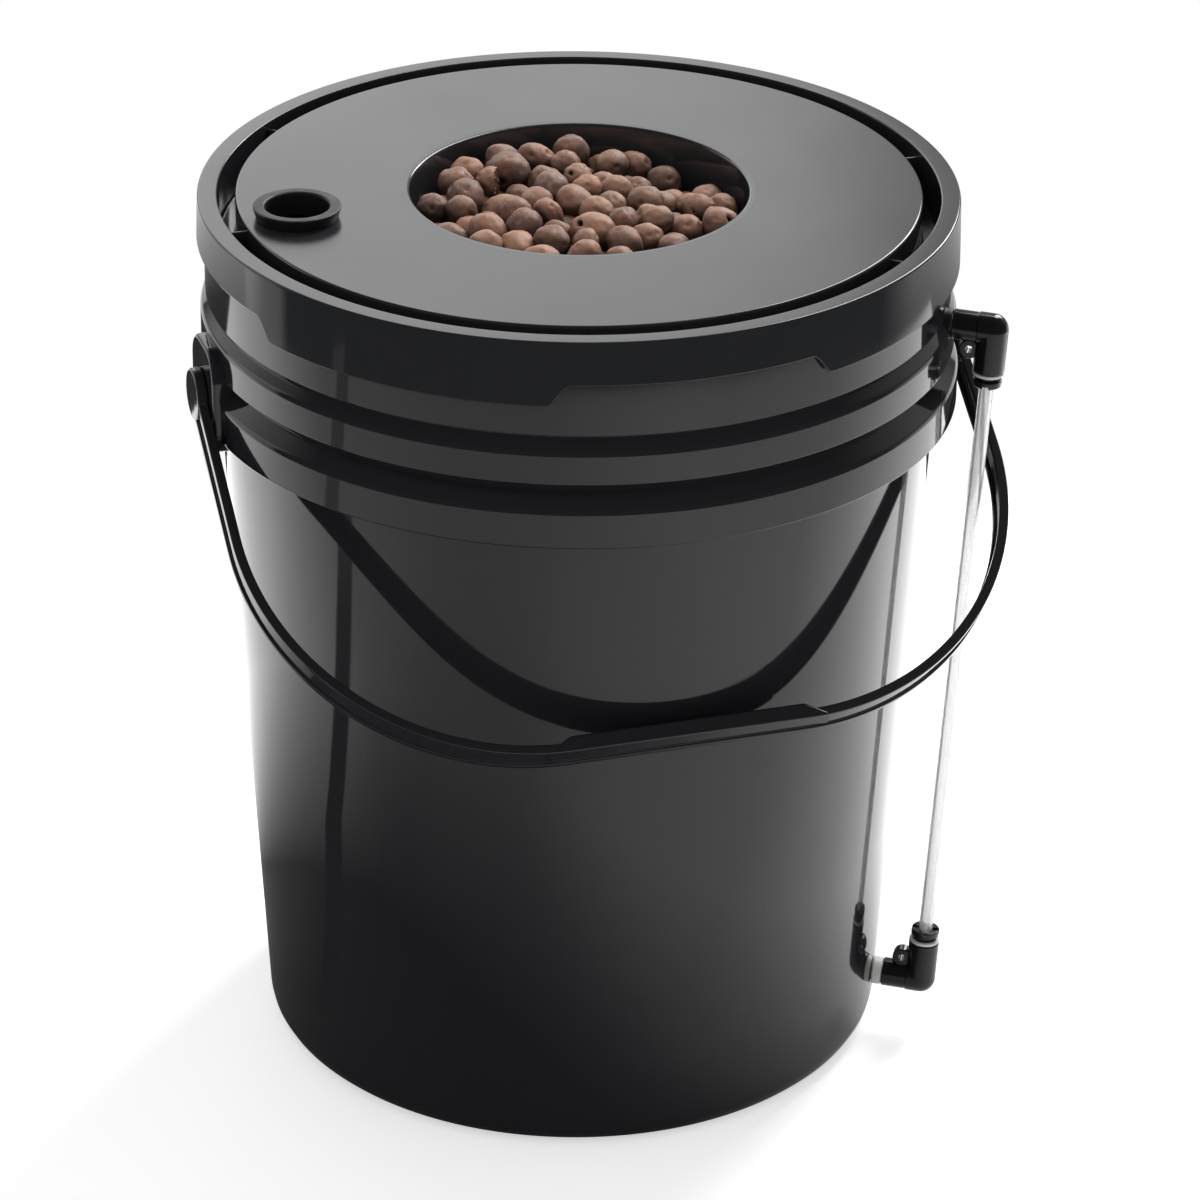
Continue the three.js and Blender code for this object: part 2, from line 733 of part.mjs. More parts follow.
function cupGeometry() {
  const section = [
    [0, cupUnder],
    [cupOuter, cupUnder],
    [cupOuter, cupUnder + cupHeight],
    [cupBore, cupUnder + cupHeight],
    [cupBore, cupInside],
    [0, cupInside],
  ];
  const boss = alongX(rod(barbBossRadius, cupBore + cupWall / 2, cupOuter + barbBossLength));
  const barbHole = alongX(rod(barbRadius + seatGap, barbStart - seatGap, cupOuter + barbBossLength + through));
  const airway = alongX(rod(barbBore, cupBore - through, barbStart));
  const stemHoles = around(footCount, (turn) => {
    const hole = rod(footStem + seatGap, cupUnder - through, cupUnder + footStemLength + seatGap);
    return hole.translate(footCircle, 0, 0).rotateZ(turn);
  });
  const lifted = [boss, barbHole, airway].map((geometry) => geometry.translate(0, 0, barbHeight));
  return shaped([turned(section, mediumFacets), lifted[0]], [lifted[1], lifted[2], ...stemHoles]);
}

function stoneGeometry() {
  const low = cupInside + seatGap;
  const high = low + stoneHeight;
  const section = [
    [0, low],
    [stoneRadius, low],
    [stoneRadius, high - stoneEdge],
    [stoneRadius - stoneEdge, high],
    [0, high],
  ];
  return turned(section, mediumFacets);
}

function footGeometry() {
  const low = floorThickness + seatGap;
  const shoulder = cupUnder - seatGap;
  const section = [
    [0, low + footDish],
    [footRadius - footDish, low],
    [footRadius, low],
    [footStem + footDish, shoulder],
    [footStem, shoulder],
    [footStem, cupUnder + footStemLength],
    [0, cupUnder + footStemLength],
  ];
  return turned(section).translate(footCircle, 0, 0);
}

function barbGeometry() {
  const tip = barbStart + barbLength;
  const ridge = barbRadius + barbRidge;
  const ridgeRun = (tip - cupOuter - barbBossLength) / 3;
  const section = [
    [barbBore, barbStart],
    [barbRadius, barbStart],
    [barbRadius, tip - 2 * ridgeRun],
    [ridge, tip - 2 * ridgeRun],
    [barbRadius, tip - ridgeRun],
    [ridge, tip - ridgeRun],
    [barbRadius, tip],
    [barbBore, tip],
    [barbBore, barbStart],
  ];
  return alongX(turned(section)).translate(0, 0, barbHeight);
}

bubbler.add(piece("air_stone_base", cupGeometry(), pumpBlue));
bubbler.add(piece("air_stone", stoneGeometry(), stoneGrey));
bubbler.add(piece("air_stone_barb", barbGeometry(), offWhite));
around(footCount, (turn) => turn).forEach((turn, i) => {
  const foot = piece(`air_stone_foot_${i + 1}`, footGeometry(), blackRubber);
  foot.rotation.z = turn;
  bubbler.add(foot);
});

export default assembly;
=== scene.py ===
# Deep water culture bucket: moulded detail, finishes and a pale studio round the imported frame
import json
from math import asin, atan, atan2, cos, hypot, pi, radians, sin, sqrt

import bmesh
import bpy
import numpy as np
from mathutils import Matrix, Vector, noise


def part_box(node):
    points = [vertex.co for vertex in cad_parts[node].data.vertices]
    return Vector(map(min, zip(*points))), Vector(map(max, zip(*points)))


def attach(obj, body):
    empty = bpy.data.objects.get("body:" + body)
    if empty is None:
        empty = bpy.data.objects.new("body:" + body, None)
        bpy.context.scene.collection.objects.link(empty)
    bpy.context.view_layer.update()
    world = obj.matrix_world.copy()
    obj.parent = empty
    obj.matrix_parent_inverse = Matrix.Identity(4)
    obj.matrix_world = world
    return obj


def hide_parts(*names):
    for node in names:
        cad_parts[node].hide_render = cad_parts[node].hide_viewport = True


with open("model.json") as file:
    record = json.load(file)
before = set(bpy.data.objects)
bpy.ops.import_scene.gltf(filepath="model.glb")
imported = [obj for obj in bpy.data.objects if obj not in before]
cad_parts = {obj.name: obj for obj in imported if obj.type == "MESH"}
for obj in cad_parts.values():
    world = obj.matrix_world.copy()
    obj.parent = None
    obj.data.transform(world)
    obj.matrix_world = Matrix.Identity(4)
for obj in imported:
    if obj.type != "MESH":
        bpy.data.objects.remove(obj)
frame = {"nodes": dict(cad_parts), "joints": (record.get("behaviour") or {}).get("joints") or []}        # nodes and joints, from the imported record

scene = bpy.context.scene
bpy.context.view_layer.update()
metres = Matrix.Scale(0.001, 4)  # pieces are drawn in millimetres
weldGap = 0.0005  # points nearer than this are one point
overrun = 1  # how far a cutting tool runs past what it cuts


def boxMm(node):
    low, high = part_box(node)
    return low * 1000, high * 1000


def pick(settings, names):  # several settings at once
    return (settings[name] for name in names.split())


def shift(x=0, y=0, z=0):
    return Matrix.Translation((x, y, z))


def rotation(angle, axis):
    return Matrix.Rotation(angle, 4, axis)


def turns(count, start=0):  # even turns round the upright axis
    return [rotation(start + 2 * pi * i / count, 'Z') for i in range(count)]


alongX = rotation(pi / 2, 'Y')  # lays a turned shape's axis along +X


# Shapes
def roundOff(bm, geom, size, rounds, affect='EDGES'):
    bmesh.ops.bevel(bm, geom=geom, offset=size, offset_type='OFFSET', segments=rounds, profile=0.5,
                    affect=affect, material=-1)


def wire(outline, closed, rounds):  # outline rows: radius, height and, for some, a corner round
    bm = bmesh.new()
    verts = [bm.verts.new((row[0], 0, row[1])) for row in outline]
    for start, end in zip(verts, verts[1:]):
        bm.edges.new((start, end))
    if closed:
        bm.edges.new((verts[-1], verts[0]))
    for size in sorted({row[2] for row in outline if len(row) > 2} - {0}):
        corners = [vert for vert, row in zip(verts, outline) if row[2:] == (size,)]
        roundOff(bm, corners, size, rounds, 'VERTICES')
    return bm


def welded(bm):
    bmesh.ops.remove_doubles(bm, verts=bm.verts, dist=weldGap)
    bmesh.ops.dissolve_degenerate(bm, edges=bm.edges, dist=weldGap)
    bmesh.ops.recalc_face_normals(bm, faces=bm.faces)
    return bm


def turned(outline, steps, closed=False, rounds=3):
    bm = wire(outline, closed, rounds)
    bmesh.ops.spin(bm, geom=bm.verts[:] + bm.edges[:], cent=(0, 0, 0), axis=(0, 0, 1), dvec=(0, 0, 0),
                   angle=2 * pi, steps=steps, use_merge=True)
    return welded(bm)


def rod(radius, low, high, steps, lowRound=0, highRound=0):
    return turned([(0, low), (radius, low, lowRound), (radius, high, highRound), (0, high)], steps)


def drill(start, stages, steps):  # a stepped cutter, each stage a radius and where it ends
    outline = [(0, start)]
    for radius, end in stages:
        outline += [(radius, outline[-1][1]), (radius, end)]
    return turned([*outline, (0, outline[-1][1])], steps)


def sleeve(inner, outer, low, high, innerRound, outerRound, steps):
    return turned([(inner, low, innerRound), (outer, low, outerRound), (outer, high, outerRound),
                   (inner, high, innerRound)], steps, closed=True)


def block(size, middle, edge=0):
    bm = bmesh.new()
    bmesh.ops.create_cube(bm, size=1, matrix=Matrix.Translation(middle) @ Matrix.Diagonal((*size, 1)))
    if edge:
        roundOff(bm, bm.edges[:], edge, rounds=2)
    return bm


def placed(bm, matrix):
    bm.transform(matrix)
    if matrix.determinant() < 0:
        bmesh.ops.reverse_faces(bm, faces=bm.faces)
    return bm


def only(parts, kind):
    return [part for part in parts if isinstance(part, kind)]


def gathered(shapes):  # several loose shapes in one mesh
    bm = bmesh.new()
    for shape in shapes:
        mesh = bpy.data.meshes.new("loose")
        shape.to_mesh(mesh)
        shape.free()
        bm.from_mesh(mesh)
        bpy.data.meshes.remove(mesh)
    return bm


def linked(bm, name, mat=None):  # the shape as an object in the scene
    mesh = bpy.data.meshes.new(name)
    bm.to_mesh(mesh)
    bm.free()
    if mat:
        mesh.materials.append(mat)
    obj = bpy.data.objects.new(name, mesh)
    scene.collection.objects.link(obj)
    return obj


def combined(bm, tool, how):
    base, other = linked(bm, "base"), linked(tool, "tool")
    step = base.modifiers.new("combine", 'BOOLEAN')
    step.operation = how
    step.solver = 'EXACT'
    step.object = other
    depsgraph = bpy.context.evaluated_depsgraph_get()
    mesh = bpy.data.meshes.new_from_object(base.evaluated_get(depsgraph))
    result = bmesh.new()
    result.from_mesh(mesh)
    for spare in (base.data, other.data, mesh):
        bpy.data.meshes.remove(spare)  # its object goes with it
    return welded(result)


def joined(bm, *tools):
    for tool in tools:
        bm = combined(bm, tool, 'UNION')
    return bm


def cut(bm, *tools):
    for tool in tools:
        bm = combined(bm, tool, 'DIFFERENCE')
    return bm


def finishPiece(bm, name, slot, nodes, place=Matrix(), body="bucket", sharp=38, even=True):
    obj = linked(placed(bm, metres @ place), name, finishes[slot])
    obj.data.shade_smooth()
    obj.data.set_sharp_from_angle(angle=radians(sharp))
    if even:
        obj.modifiers.new("evenNormals", 'WEIGHTED_NORMAL').keep_sharp = True
    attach(obj, body)
    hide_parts(*nodes)
    print(name, "modelled:", len(obj.data.polygons), "faces")


# Finishes
def fill(tree, node, sockets):  # another node's socket is linked, a plain value is set
    for name, value in sockets.items():
        if isinstance(value, bpy.types.NodeSocket):
            tree.links.new(value, node.inputs[name])
        else:
            node.inputs[name].default_value = value


def addNode(tree, kind, sockets=None, **settings):
    made = tree.nodes.new("ShaderNode" + kind)
    for name, value in settings.items():
        setattr(made, name, value)
    fill(tree, made, sockets or {})
    return made


def reckon(tree, operation, *values):  # Math nodes in a row
    result = values[0]
    for value in values[1:]:
        result = addNode(tree, "Math", {0: result, 1: value}, operation=operation).outputs[0]
    return result


def spread(tree, value, low, high, fromLow=0.3, fromHigh=0.7):
    sockets = {"Value": value, "From Min": fromLow, "From Max": fromHigh, "To Min": low, "To Max": high}
    return addNode(tree, "MapRange", sockets).outputs["Result"]


def coordinates(tree, vector):
    return addNode(tree, "SeparateXYZ", {"Vector": vector}).outputs


def facingUp(tree):  # 1 on a flat top, 0 on an upright side
    return coordinates(tree, addNode(tree, "NewGeometry").outputs["Normal"])["Z"]


def noiseAt(tree, spot, scale, detail, roughness=0.5):
    sockets = {"Vector": spot, "Scale": scale, "Detail": detail, "Roughness": roughness}
    return addNode(tree, "TexNoise", sockets).outputs["Fac"]


def blend(tree, share, first, second):
    return addNode(tree, "Mix", {0: share, 6: first, 7: second}, data_type='RGBA').outputs[2]


def bump(tree, height, distance, strength=1, under=None):
    sockets = {"Height": height, "Distance": distance, "Strength": strength}
    if under is not None:
        sockets["Normal"] = under
    return addNode(tree, "Bump", sockets).outputs["Normal"]


def newFinish(name):
    mat = bpy.data.materials.new(name)
    mat.use_nodes = True
    return mat, mat.node_tree


def startFinish(name, sockets):
    mat, tree = newFinish(name)
    shader = tree.nodes["Principled BSDF"]
    fill(tree, shader, sockets)
    return mat, tree, shader, addNode(tree, "TexCoord").outputs["Object"]


# In a finish, a ramp of four numbers is to low, to high, from low and from high
def mouldedFinish(name, dark, pale, roughness, ior, patch, wave, skin, polish=None):
    # moulded plastic: slow waviness from the tool, a fine skin and rubbed patches in the gloss
    mat, tree, shader, spot = startFinish(name, {"IOR": ior})
    patches = noiseAt(tree, spot, patch, detail=5, roughness=0.6)
    (waveScale, waveHeight), (skinScale, skinHeight) = wave, skin
    waves = bump(tree, noiseAt(tree, spot, waveScale, detail=1), waveHeight)
    gloss = spread(tree, patches, *roughness)
    if polish:  # flat tops stay satin, the rest is polished
        gloss = reckon(tree, 'MULTIPLY', gloss, spread(tree, facingUp(tree), *polish))
    grain = noiseAt(tree, spot, skinScale, detail=2)
    fill(tree, shader, {"Base Color": blend(tree, patches, dark, pale), "Roughness": gloss,
                        "Normal": bump(tree, grain, skinHeight, under=waves)})
    return mat


def cloudedFinish(name, dark, pale, roughness, scale, detail, sockets):
    mat, tree, shader, spot = startFinish(name, sockets)
    cloud = noiseAt(tree, spot, scale, detail)
    fill(tree, shader, {"Base Color": blend(tree, cloud, dark, pale),
                        "Roughness": spread(tree, cloud, *roughness)})
    return mat


def clayFinish(name, dark, pale, roughness, shine, red, dustAndTopLight, paintedUnderShade, pore, blush, dusty, paintedTopLight, paintedUnderShadeRamp, ragged,
               grain):
    # each pebble has its own tone, with red blushes and pale dust; the dust is kept to the upward faces as
    # painted top light, the undersides carry painted shade and the pores are painted near black as shade in
    # their hollows
    mat, tree, shader, spot = startFinish(name, {"Specular IOR Level": shine})
    tones, holes = (addNode(tree, "Attribute", attribute_name=key).outputs["Fac"]
                    for key in ("tone", "pore"))
    (blushScale, *blushRamp), (dustScale, *dustRamp), (grainScale, height, strength) = blush, dusty, grain
    blushes = spread(tree, noiseAt(tree, spot, blushScale, detail=4, roughness=0.6), *blushRamp)
    tone = blend(tree, blushes, blend(tree, tones, dark, pale), red)
    up = facingUp(tree)
    specks = spread(tree, noiseAt(tree, spot, dustScale, detail=5, roughness=0.7), *dustRamp)
    # painted top light: pale dust laid only on the upward faces, so the tops read lighter
    tone = blend(tree, reckon(tree, 'MULTIPLY', specks, spread(tree, up, *paintedTopLight)), tone, dustAndTopLight)
    # painted shade: the downward faces are darkened towards a near black brown
    tone = blend(tree, spread(tree, up, *paintedUnderShadeRamp), tone, paintedUnderShade)
    grit = noiseAt(tree, spot, grainScale, detail=6, roughness=0.65)
    # painted shade: the pore hollows are darkened to near black
    hole = spread(tree, reckon(tree, 'MULTIPLY', holes, grit), *ragged)
    fill(tree, shader, {"Base Color": blend(tree, hole, tone, pore),
                        "Roughness": spread(tree, grit, *roughness),
                        "Normal": bump(tree, grit, height, strength)})
    return mat


def stoneFinish(name, dark, pale, roughness, shine, pitShade, pitShadeRamp, cloudScale, gritScale, gritHeight):
    mat, tree, shader, spot = startFinish(name, {"Specular IOR Level": shine})
    sockets = {"Vector": spot, "Scale": gritScale, "Randomness": 1.0}
    grit = addNode(tree, "TexVoronoi", sockets).outputs["Distance"]
    cloud = noiseAt(tree, spot, cloudScale, detail=4)
    # painted shade: the lowest spots of the grit bump are darkened
    tone = blend(tree, spread(tree, grit, *pitShadeRamp), pitShade, blend(tree, cloud, dark, pale))
    fill(tree, shader, {"Base Color": tone, "Roughness": spread(tree, cloud, *roughness),
                        "Normal": bump(tree, grit, gritHeight)})
    return mat


finishes = {  # by material slot; wave and skin are a scale and a height
    "bucket_black": mouldedFinish(
        "glossBlack", dark=(0.0155, 0.016, 0.0185, 1), pale=(0.021, 0.0215, 0.024, 1), ior=1.5,
        roughness=(0.035, 0.075), patch=9, wave=(14, 0.00022), skin=(900, 0.0000012)),
    "lid_black": mouldedFinish(
        "satinBlack", dark=(0.0205, 0.0215, 0.0245, 1), pale=(0.0275, 0.0285, 0.031, 1), ior=1.5, patch=11,
        roughness=(0.17, 0.25), wave=(16, 0.00012), skin=(1500, 0.000003), polish=(0.3, 1, 0.92, 0.99)),
    "fitting_black": mouldedFinish(
        "fittingBlack", dark=(0.006, 0.006, 0.0065, 1), pale=(0.011, 0.011, 0.012, 1), ior=1.45,
        roughness=(0.12, 0.2), patch=120, wave=(90, 0.00002), skin=(2600, 0.000006)),
    "black_rubber": mouldedFinish(
        "rubberBlack", dark=(0.008, 0.008, 0.0082, 1), pale=(0.018, 0.018, 0.0183, 1), ior=1.5,
        roughness=(0.4, 0.55), patch=90, wave=(60, 0.00003), skin=(1800, 0.00002)),
    "white_nylon": mouldedFinish(
        "whiteNylon", dark=(0.68, 0.665, 0.62, 1), pale=(0.84, 0.83, 0.79, 1), ior=1.53,
        roughness=(0.32, 0.45), patch=160, wave=(90, 0.00002), skin=(2200, 0.000006)),
    "blue_plastic": mouldedFinish(
        "bluePlastic", dark=(0.016, 0.06, 0.145, 1), pale=(0.024, 0.08, 0.18, 1), ior=1.5,
        roughness=(0.28, 0.42), patch=60, wave=(40, 0.00004), skin=(1800, 0.00001)),
    "clear_tube": cloudedFinish(  # clear tubing gone a little milky
        "clearTube", dark=(0.94, 0.945, 0.945, 1), pale=(0.97, 0.975, 0.975, 1), roughness=(0.05, 0.12),
        scale=70, detail=2, sockets={"IOR": 1.4, "Transmission Weight": 0.74}),
    "fired_clay": clayFinish(
        "firedClay", dark=(0.15, 0.085, 0.068, 1), pale=(0.47, 0.25, 0.162, 1), roughness=(0.38, 0.6),
        # below, the pale dust colour is partly painted top light, the dark underside colour is painted shade
        # and the near black pore colour is painted shade in the pores
        shine=0.35, red=(0.34, 0.115, 0.068, 1), dustAndTopLight=(0.58, 0.36, 0.25, 1), paintedUnderShade=(0.03, 0.019, 0.017, 1),
        pore=(0.008, 0.005, 0.004, 1), blush=(75, 0, 0.65, 0.5, 0.72), dusty=(420, 0.1, 0.9, 0.42, 0.8),
        paintedTopLight=(0.2, 0.75, 0.3, 0.95), paintedUnderShadeRamp=(0.86, 0, -0.05, 0.72), ragged=(0, 1, 0.12, 0.3),
        grain=(1500, 0.0003, 0.8)),
    "porous_stone": stoneFinish(
        "porousStone", dark=(0.2, 0.21, 0.22, 1), pale=(0.33, 0.34, 0.345, 1), roughness=(0.8, 0.95),
        shine=0.3, pitShade=(0.07, 0.075, 0.08, 1), pitShadeRamp=(0, 0.6, 0.1, 0.6), cloudScale=60, gritScale=900,
        gritHeight=0.0004),
}
springSteel = cloudedFinish("springSteel", dark=(0.42, 0.42, 0.41, 1), pale=(0.58, 0.58, 0.57, 1),
                            roughness=(0.22, 0.38), scale=900, detail=4, sockets={"Metallic": 1.0})
print("finishes ready")

# Pail
pail = {
    "height": boxMm("bucket")[1].z, "baseRadius": 131.6, "draft": 0.0571, "wall": 2.3, "floor": 3,
    "baseCorner": 10, "topBandLow": 337.5, "middleHigh": 331, "middleLow": 317.3, "lowerHigh": 306.8,
    "lowerLow": 291, "middleProud": 4.6, "lowerProud": 7.84, "slopeShare": 0.7, "apron": 2.2, "apronRoof": 4,
    "apronRound": 1.2, "edge": 0.9, "crown": 1.4, "tight": 0.6, "neck": 0.8, "lowerFillet": 1.6,
    "middleFillet": 1, "steps": 256,
}
draftAngle = atan(pail["draft"])


def wallAt(z):
    return pail["baseRadius"] + pail["draft"] * z


def cavityAt(z):
    return wallAt(z) - pail["wall"]


middleBand = wallAt(pail["middleHigh"]) + pail["middleProud"]
lowerBand = wallAt(pail["lowerHigh"]) + pail["lowerProud"]
topBand = wallAt(pail["height"])

swing = next(joint for joint in frame["joints"] if joint["name"] == "handle_swing")
ears = {
    "bearing": atan2(-swing["axis"][1], -swing["axis"][0]), "height": swing["pos_m"][2] * 1000, "width": 36,
    "tall": 46, "corner": 12, "face": 159.162, "edge": 1.6, "sunk": 1.3, "socket": 4.5, "socketDepth": 8.9,
    "socketRound": 0.4, "steps": 32,
}
earPlaces = [turn @ shift(z=ears["height"]) for turn in turns(2, ears["bearing"])]

gauge = {
    "bearing": radians(-11), "standoff": 21, "upper": 332.943, "lower": 23.735, "stemHole": 4.3,
    "holeReach": 3 * pail["wall"], "washerSeat": 6.4, "tube": 3, "bore": 2, "tubeEnd": 5.3,
    "tubeRounds": (0.2, 0.3), "steps": 48,
}
gaugeFrame = rotation(gauge["bearing"], 'Z') @ shift(pail["baseRadius"]) @ rotation(draftAngle, 'Y')
fittingFrames = {
    "upper": gaugeFrame @ shift(z=gauge["upper"]),
    "lower": gaugeFrame @ shift(z=gauge["lower"]) @ rotation(pi, 'X'),
}


def pailOutline():
    low, high, middleLow, middleHigh = pick(pail, "lowerLow lowerHigh middleLow middleHigh")
    topLow, top, floor, share = pick(pail, "topBandLow height floor slopeShare")
    edge, crown, tight, apronRound = pick(pail, "edge crown tight apronRound")
    middleSlope = middleHigh + share * (topLow - middleHigh)
    lowerSlope = high + share * (middleLow - high)
    roof = high - pail["apronRoof"]
    apronInner = lowerBand - pail["apron"]
    return [
        (0, 0), (wallAt(0), 0, pail["baseCorner"]), (wallAt(roof), roof, apronRound),
        (apronInner, roof, apronRound), (apronInner, low, tight), (lowerBand, low, edge),
        (lowerBand, high, crown), (wallAt(lowerSlope), lowerSlope, pail["lowerFillet"]),
        (wallAt(middleLow), middleLow, pail["neck"]),
        (middleBand, middleLow, edge), (middleBand, middleHigh, crown),
        (wallAt(middleSlope), middleSlope, pail["middleFillet"]), (wallAt(topLow), topLow, tight),
        (topBand, topLow, tight), (topBand, top, edge), (cavityAt(top), top, edge),
        (cavityAt(floor), floor, pail["baseCorner"] - pail["wall"]), (0, floor),
    ]


def earShape(place):
    root = wallAt(ears["height"]) - ears["sunk"]
    depth = ears["face"] - root
    bm = block((depth, ears["width"], ears["tall"]), (root + depth / 2, 0, 0))
    along = [edge for edge in bm.edges if abs(edge.verts[0].co.x - edge.verts[1].co.x) > depth / 2]
    roundOff(bm, along, ears["corner"], rounds=8)
    rim = [edge for edge in bm.edges if min(vert.co.x for vert in edge.verts) > ears["face"] - weldGap]
    roundOff(bm, rim, ears["edge"], rounds=4)
    for vert in bm.verts:
        if vert.co.x < root + weldGap:
            vert.co.x += pail["draft"] * vert.co.z  # the back of the ear follows the wall
    return placed(bm, place)


def earSocket(place):
    bottom = ears["face"] - ears["socketDepth"]
    bm = rod(ears["socket"], bottom, ears["face"] + overrun, ears["steps"], lowRound=ears["socketRound"])
    return placed(bm, place @ alongX)


def stemHole(place):
    stages = [(gauge["stemHole"], 0), (gauge["washerSeat"], gauge["standoff"])]
    return placed(drill(-gauge["holeReach"], stages, gauge["steps"]), place @ alongX)


def makePail():
    bm = turned(pailOutline(), pail["steps"], rounds=5)
    bm = joined(bm, gathered([earShape(place) for place in earPlaces]))
    sockets = [earSocket(place) for place in earPlaces]
    bm = cut(bm, gathered(sockets + [stemHole(place) for place in fittingFrames.values()]))
    finishPiece(bm, "bucketShell", "bucket_black", ["bucket"], sharp=50)


makePail()

# Lid
lid = {
    "top": boxMm("lid")[1].z, "plate": 2.6, "skirt": 2, "skirtPlay": 1, "skirtDraft": 0.6, "deep": 27,
    "shallow": 18, "slant": 7, "shallowSpan": radians(38), "turn": radians(17.5), "moatDepth": 20,
    "moatWidth": 7.2, "moatFloor": 2.2, "moatRound": 1.0, "wall": 2, "plugPlay": 0.4, "plugRound": 0.8,
    "ribs": 8, "ribThick": 1.6, "ribSink": 3, "ribEdge": 0.5, "seam": 0.02, "rim": 1.0, "rimInner": 0.7,
    "deckRound": 1.1, "inside": 0.6, "hem": (0.4, 0.5), "hemTall": 1, "steps": 360,
}
lidFoot = lid["top"] - lid["moatDepth"] - lid["moatFloor"]
plugRadius = cavityAt(lidFoot) - lid["plugPlay"]
moatOuter = plugRadius - lid["wall"]
deckRadius = moatOuter - lid["moatWidth"]
skirtInner = topBand + lid["skirtPlay"]
skirtOuter = skirtInner + lid["skirt"]

basket = {  # window and slot widths are in facets
    "mouth": 69, "mouthRound": 1.1, "wall": 1.8, "lip": 1.7, "lipHeight": 1.2, "footRadius": 52,
    "foot": boxMm("net_basket")[0].z, "footRound": 1.2, "floor": 2.4, "floorRound": 1.0, "columns": 18,
    "rows": 3, "tall": 22, "pitch": 29, "sill": 10, "windowShift": 1.5, "windowHalf": 1, "slots": 9,
    "slotEnds": (14, 43), "slotHalf": 1.5, "steps": 108,
}
basketNeck = basket["mouth"] + basket["wall"]
lipRadius = basketNeck + basket["lip"]
lipUnder = lid["top"] - basket["lipHeight"]
basketInside = basket["foot"] + basket["floor"]
basketSlope = (basketNeck - basket["footRadius"]) / (lipUnder - basket["foot"])
basketSills = [basketInside + basket["sill"] + basket["pitch"] * row for row in range(basket["rows"])]

grommet = {
    "middle": sum(boxMm("lid_grommet"), Vector()) / 2, "bore": 13, "neck": 15, "flange": 18, "taper": 1.5,
    "flangeTall": 5, "flangeSink": 0.12, "lip": 1.6, "lipGap": 0.15, "hole": 15.3, "soft": 0.5,
    "flangeRounds": (0.4, 1.0), "mouthRound": 1.2, "steps": 96,
}
grommetPlace = shift(grommet["middle"].x, grommet["middle"].y)


def basketOuter(z):
    return basket["footRadius"] + basketSlope * (z - basket["foot"])


def basketInner(z):
    return basketOuter(z) - basket["wall"]


def lidOutline():
    top = lid["top"]
    under = top - lid["plate"]
    moatFloor = top - lid["moatDepth"]
    riser = deckRadius - lid["wall"]
    skirtFoot = top - lid["shallow"]
    rebate = lipRadius + lid["seam"]
    ledge = lipUnder - lid["seam"]
    hole = basketNeck + lid["seam"]
    inside, plug, moat = pick(lid, "inside plugRound moatRound")
    return [
        (hole, under), (riser, under, moat), (riser, lidFoot, inside), (plugRadius, lidFoot, plug),
        (plugRadius, under, plug), (skirtInner, under, inside), (skirtInner, skirtFoot, lid["hem"][0]),
        (skirtOuter, skirtFoot, lid["hem"][1]), (skirtOuter - lid["skirtDraft"], top, lid["rim"]),
        (moatOuter, top, lid["rimInner"]), (moatOuter, moatFloor, moat), (deckRadius, moatFloor, moat),
        (deckRadius, top, lid["deckRound"]), (rebate, top), (rebate, ledge), (hole, ledge),
    ]


def skirtDrop(angle):  # 0 on a shallow stretch, 1 on a deep one, a slant between
    quarter = pi / 2
    off = abs((angle - lid["turn"] + quarter / 2) % quarter - quarter / 2)
    return min(max((off - lid["shallowSpan"] / 2) * skirtOuter / lid["slant"], 0), 1)


def moatRibs():
    low = lidFoot + lid["moatFloor"] / 2
    tall = lid["top"] - lid["ribSink"] - low
    size = (lid["moatWidth"] + lid["wall"], lid["ribThick"], tall)
    middle = ((moatOuter + deckRadius) / 2, 0, low + tall / 2)
    return [placed(block(size, middle, lid["ribEdge"]), turn) for turn in turns(lid["ribs"], lid["turn"])]


def makeLid():
    bm = turned(lidOutline(), lid["steps"], closed=True, rounds=4)
    hemLine = lid["top"] - lid["shallow"] + lid["hemTall"]
    for vert in bm.verts:
        if vert.co.z < hemLine and vert.co.xy.length > skirtInner - weldGap:
            vert.co.z -= (lid["deep"] - lid["shallow"]) * skirtDrop(atan2(vert.co.y, vert.co.x))
    bm = joined(bm, gathered(moatRibs()))
    hole = rod(grommet["hole"], lid["top"] - 2 * lid["plate"], lid["top"] + lid["plate"], grommet["steps"])
    bm = cut(bm, placed(hole, grommetPlace))
    finishPiece(bm, "lidShell", "lid_black", ["lid"], body="lid", sharp=50)


makeLid()


# Basket: a turned wall with its windows and floor slots opened and bridged
def basketOutline():
    foot, top = basket["foot"], lid["top"]
    levels = [z for sill in basketSills for z in (sill, sill + basket["tall"])]
    return [
        (0, foot), *((r, foot) for r in basket["slotEnds"]),
        (basket["footRadius"], foot, basket["footRound"]),
        *((basketOuter(z), z) for z in levels),
        (basketNeck, lipUnder), (lipRadius, lipUnder), (lipRadius, top),
        (basketInner(top), top, basket["mouthRound"]),
        *((basketInner(z), z) for z in reversed(levels)),
        (basketInner(basketInside), basketInside, basket["floorRound"]),
        *((r, basketInside) for r in reversed(basket["slotEnds"])), (0, basketInside),
    ]


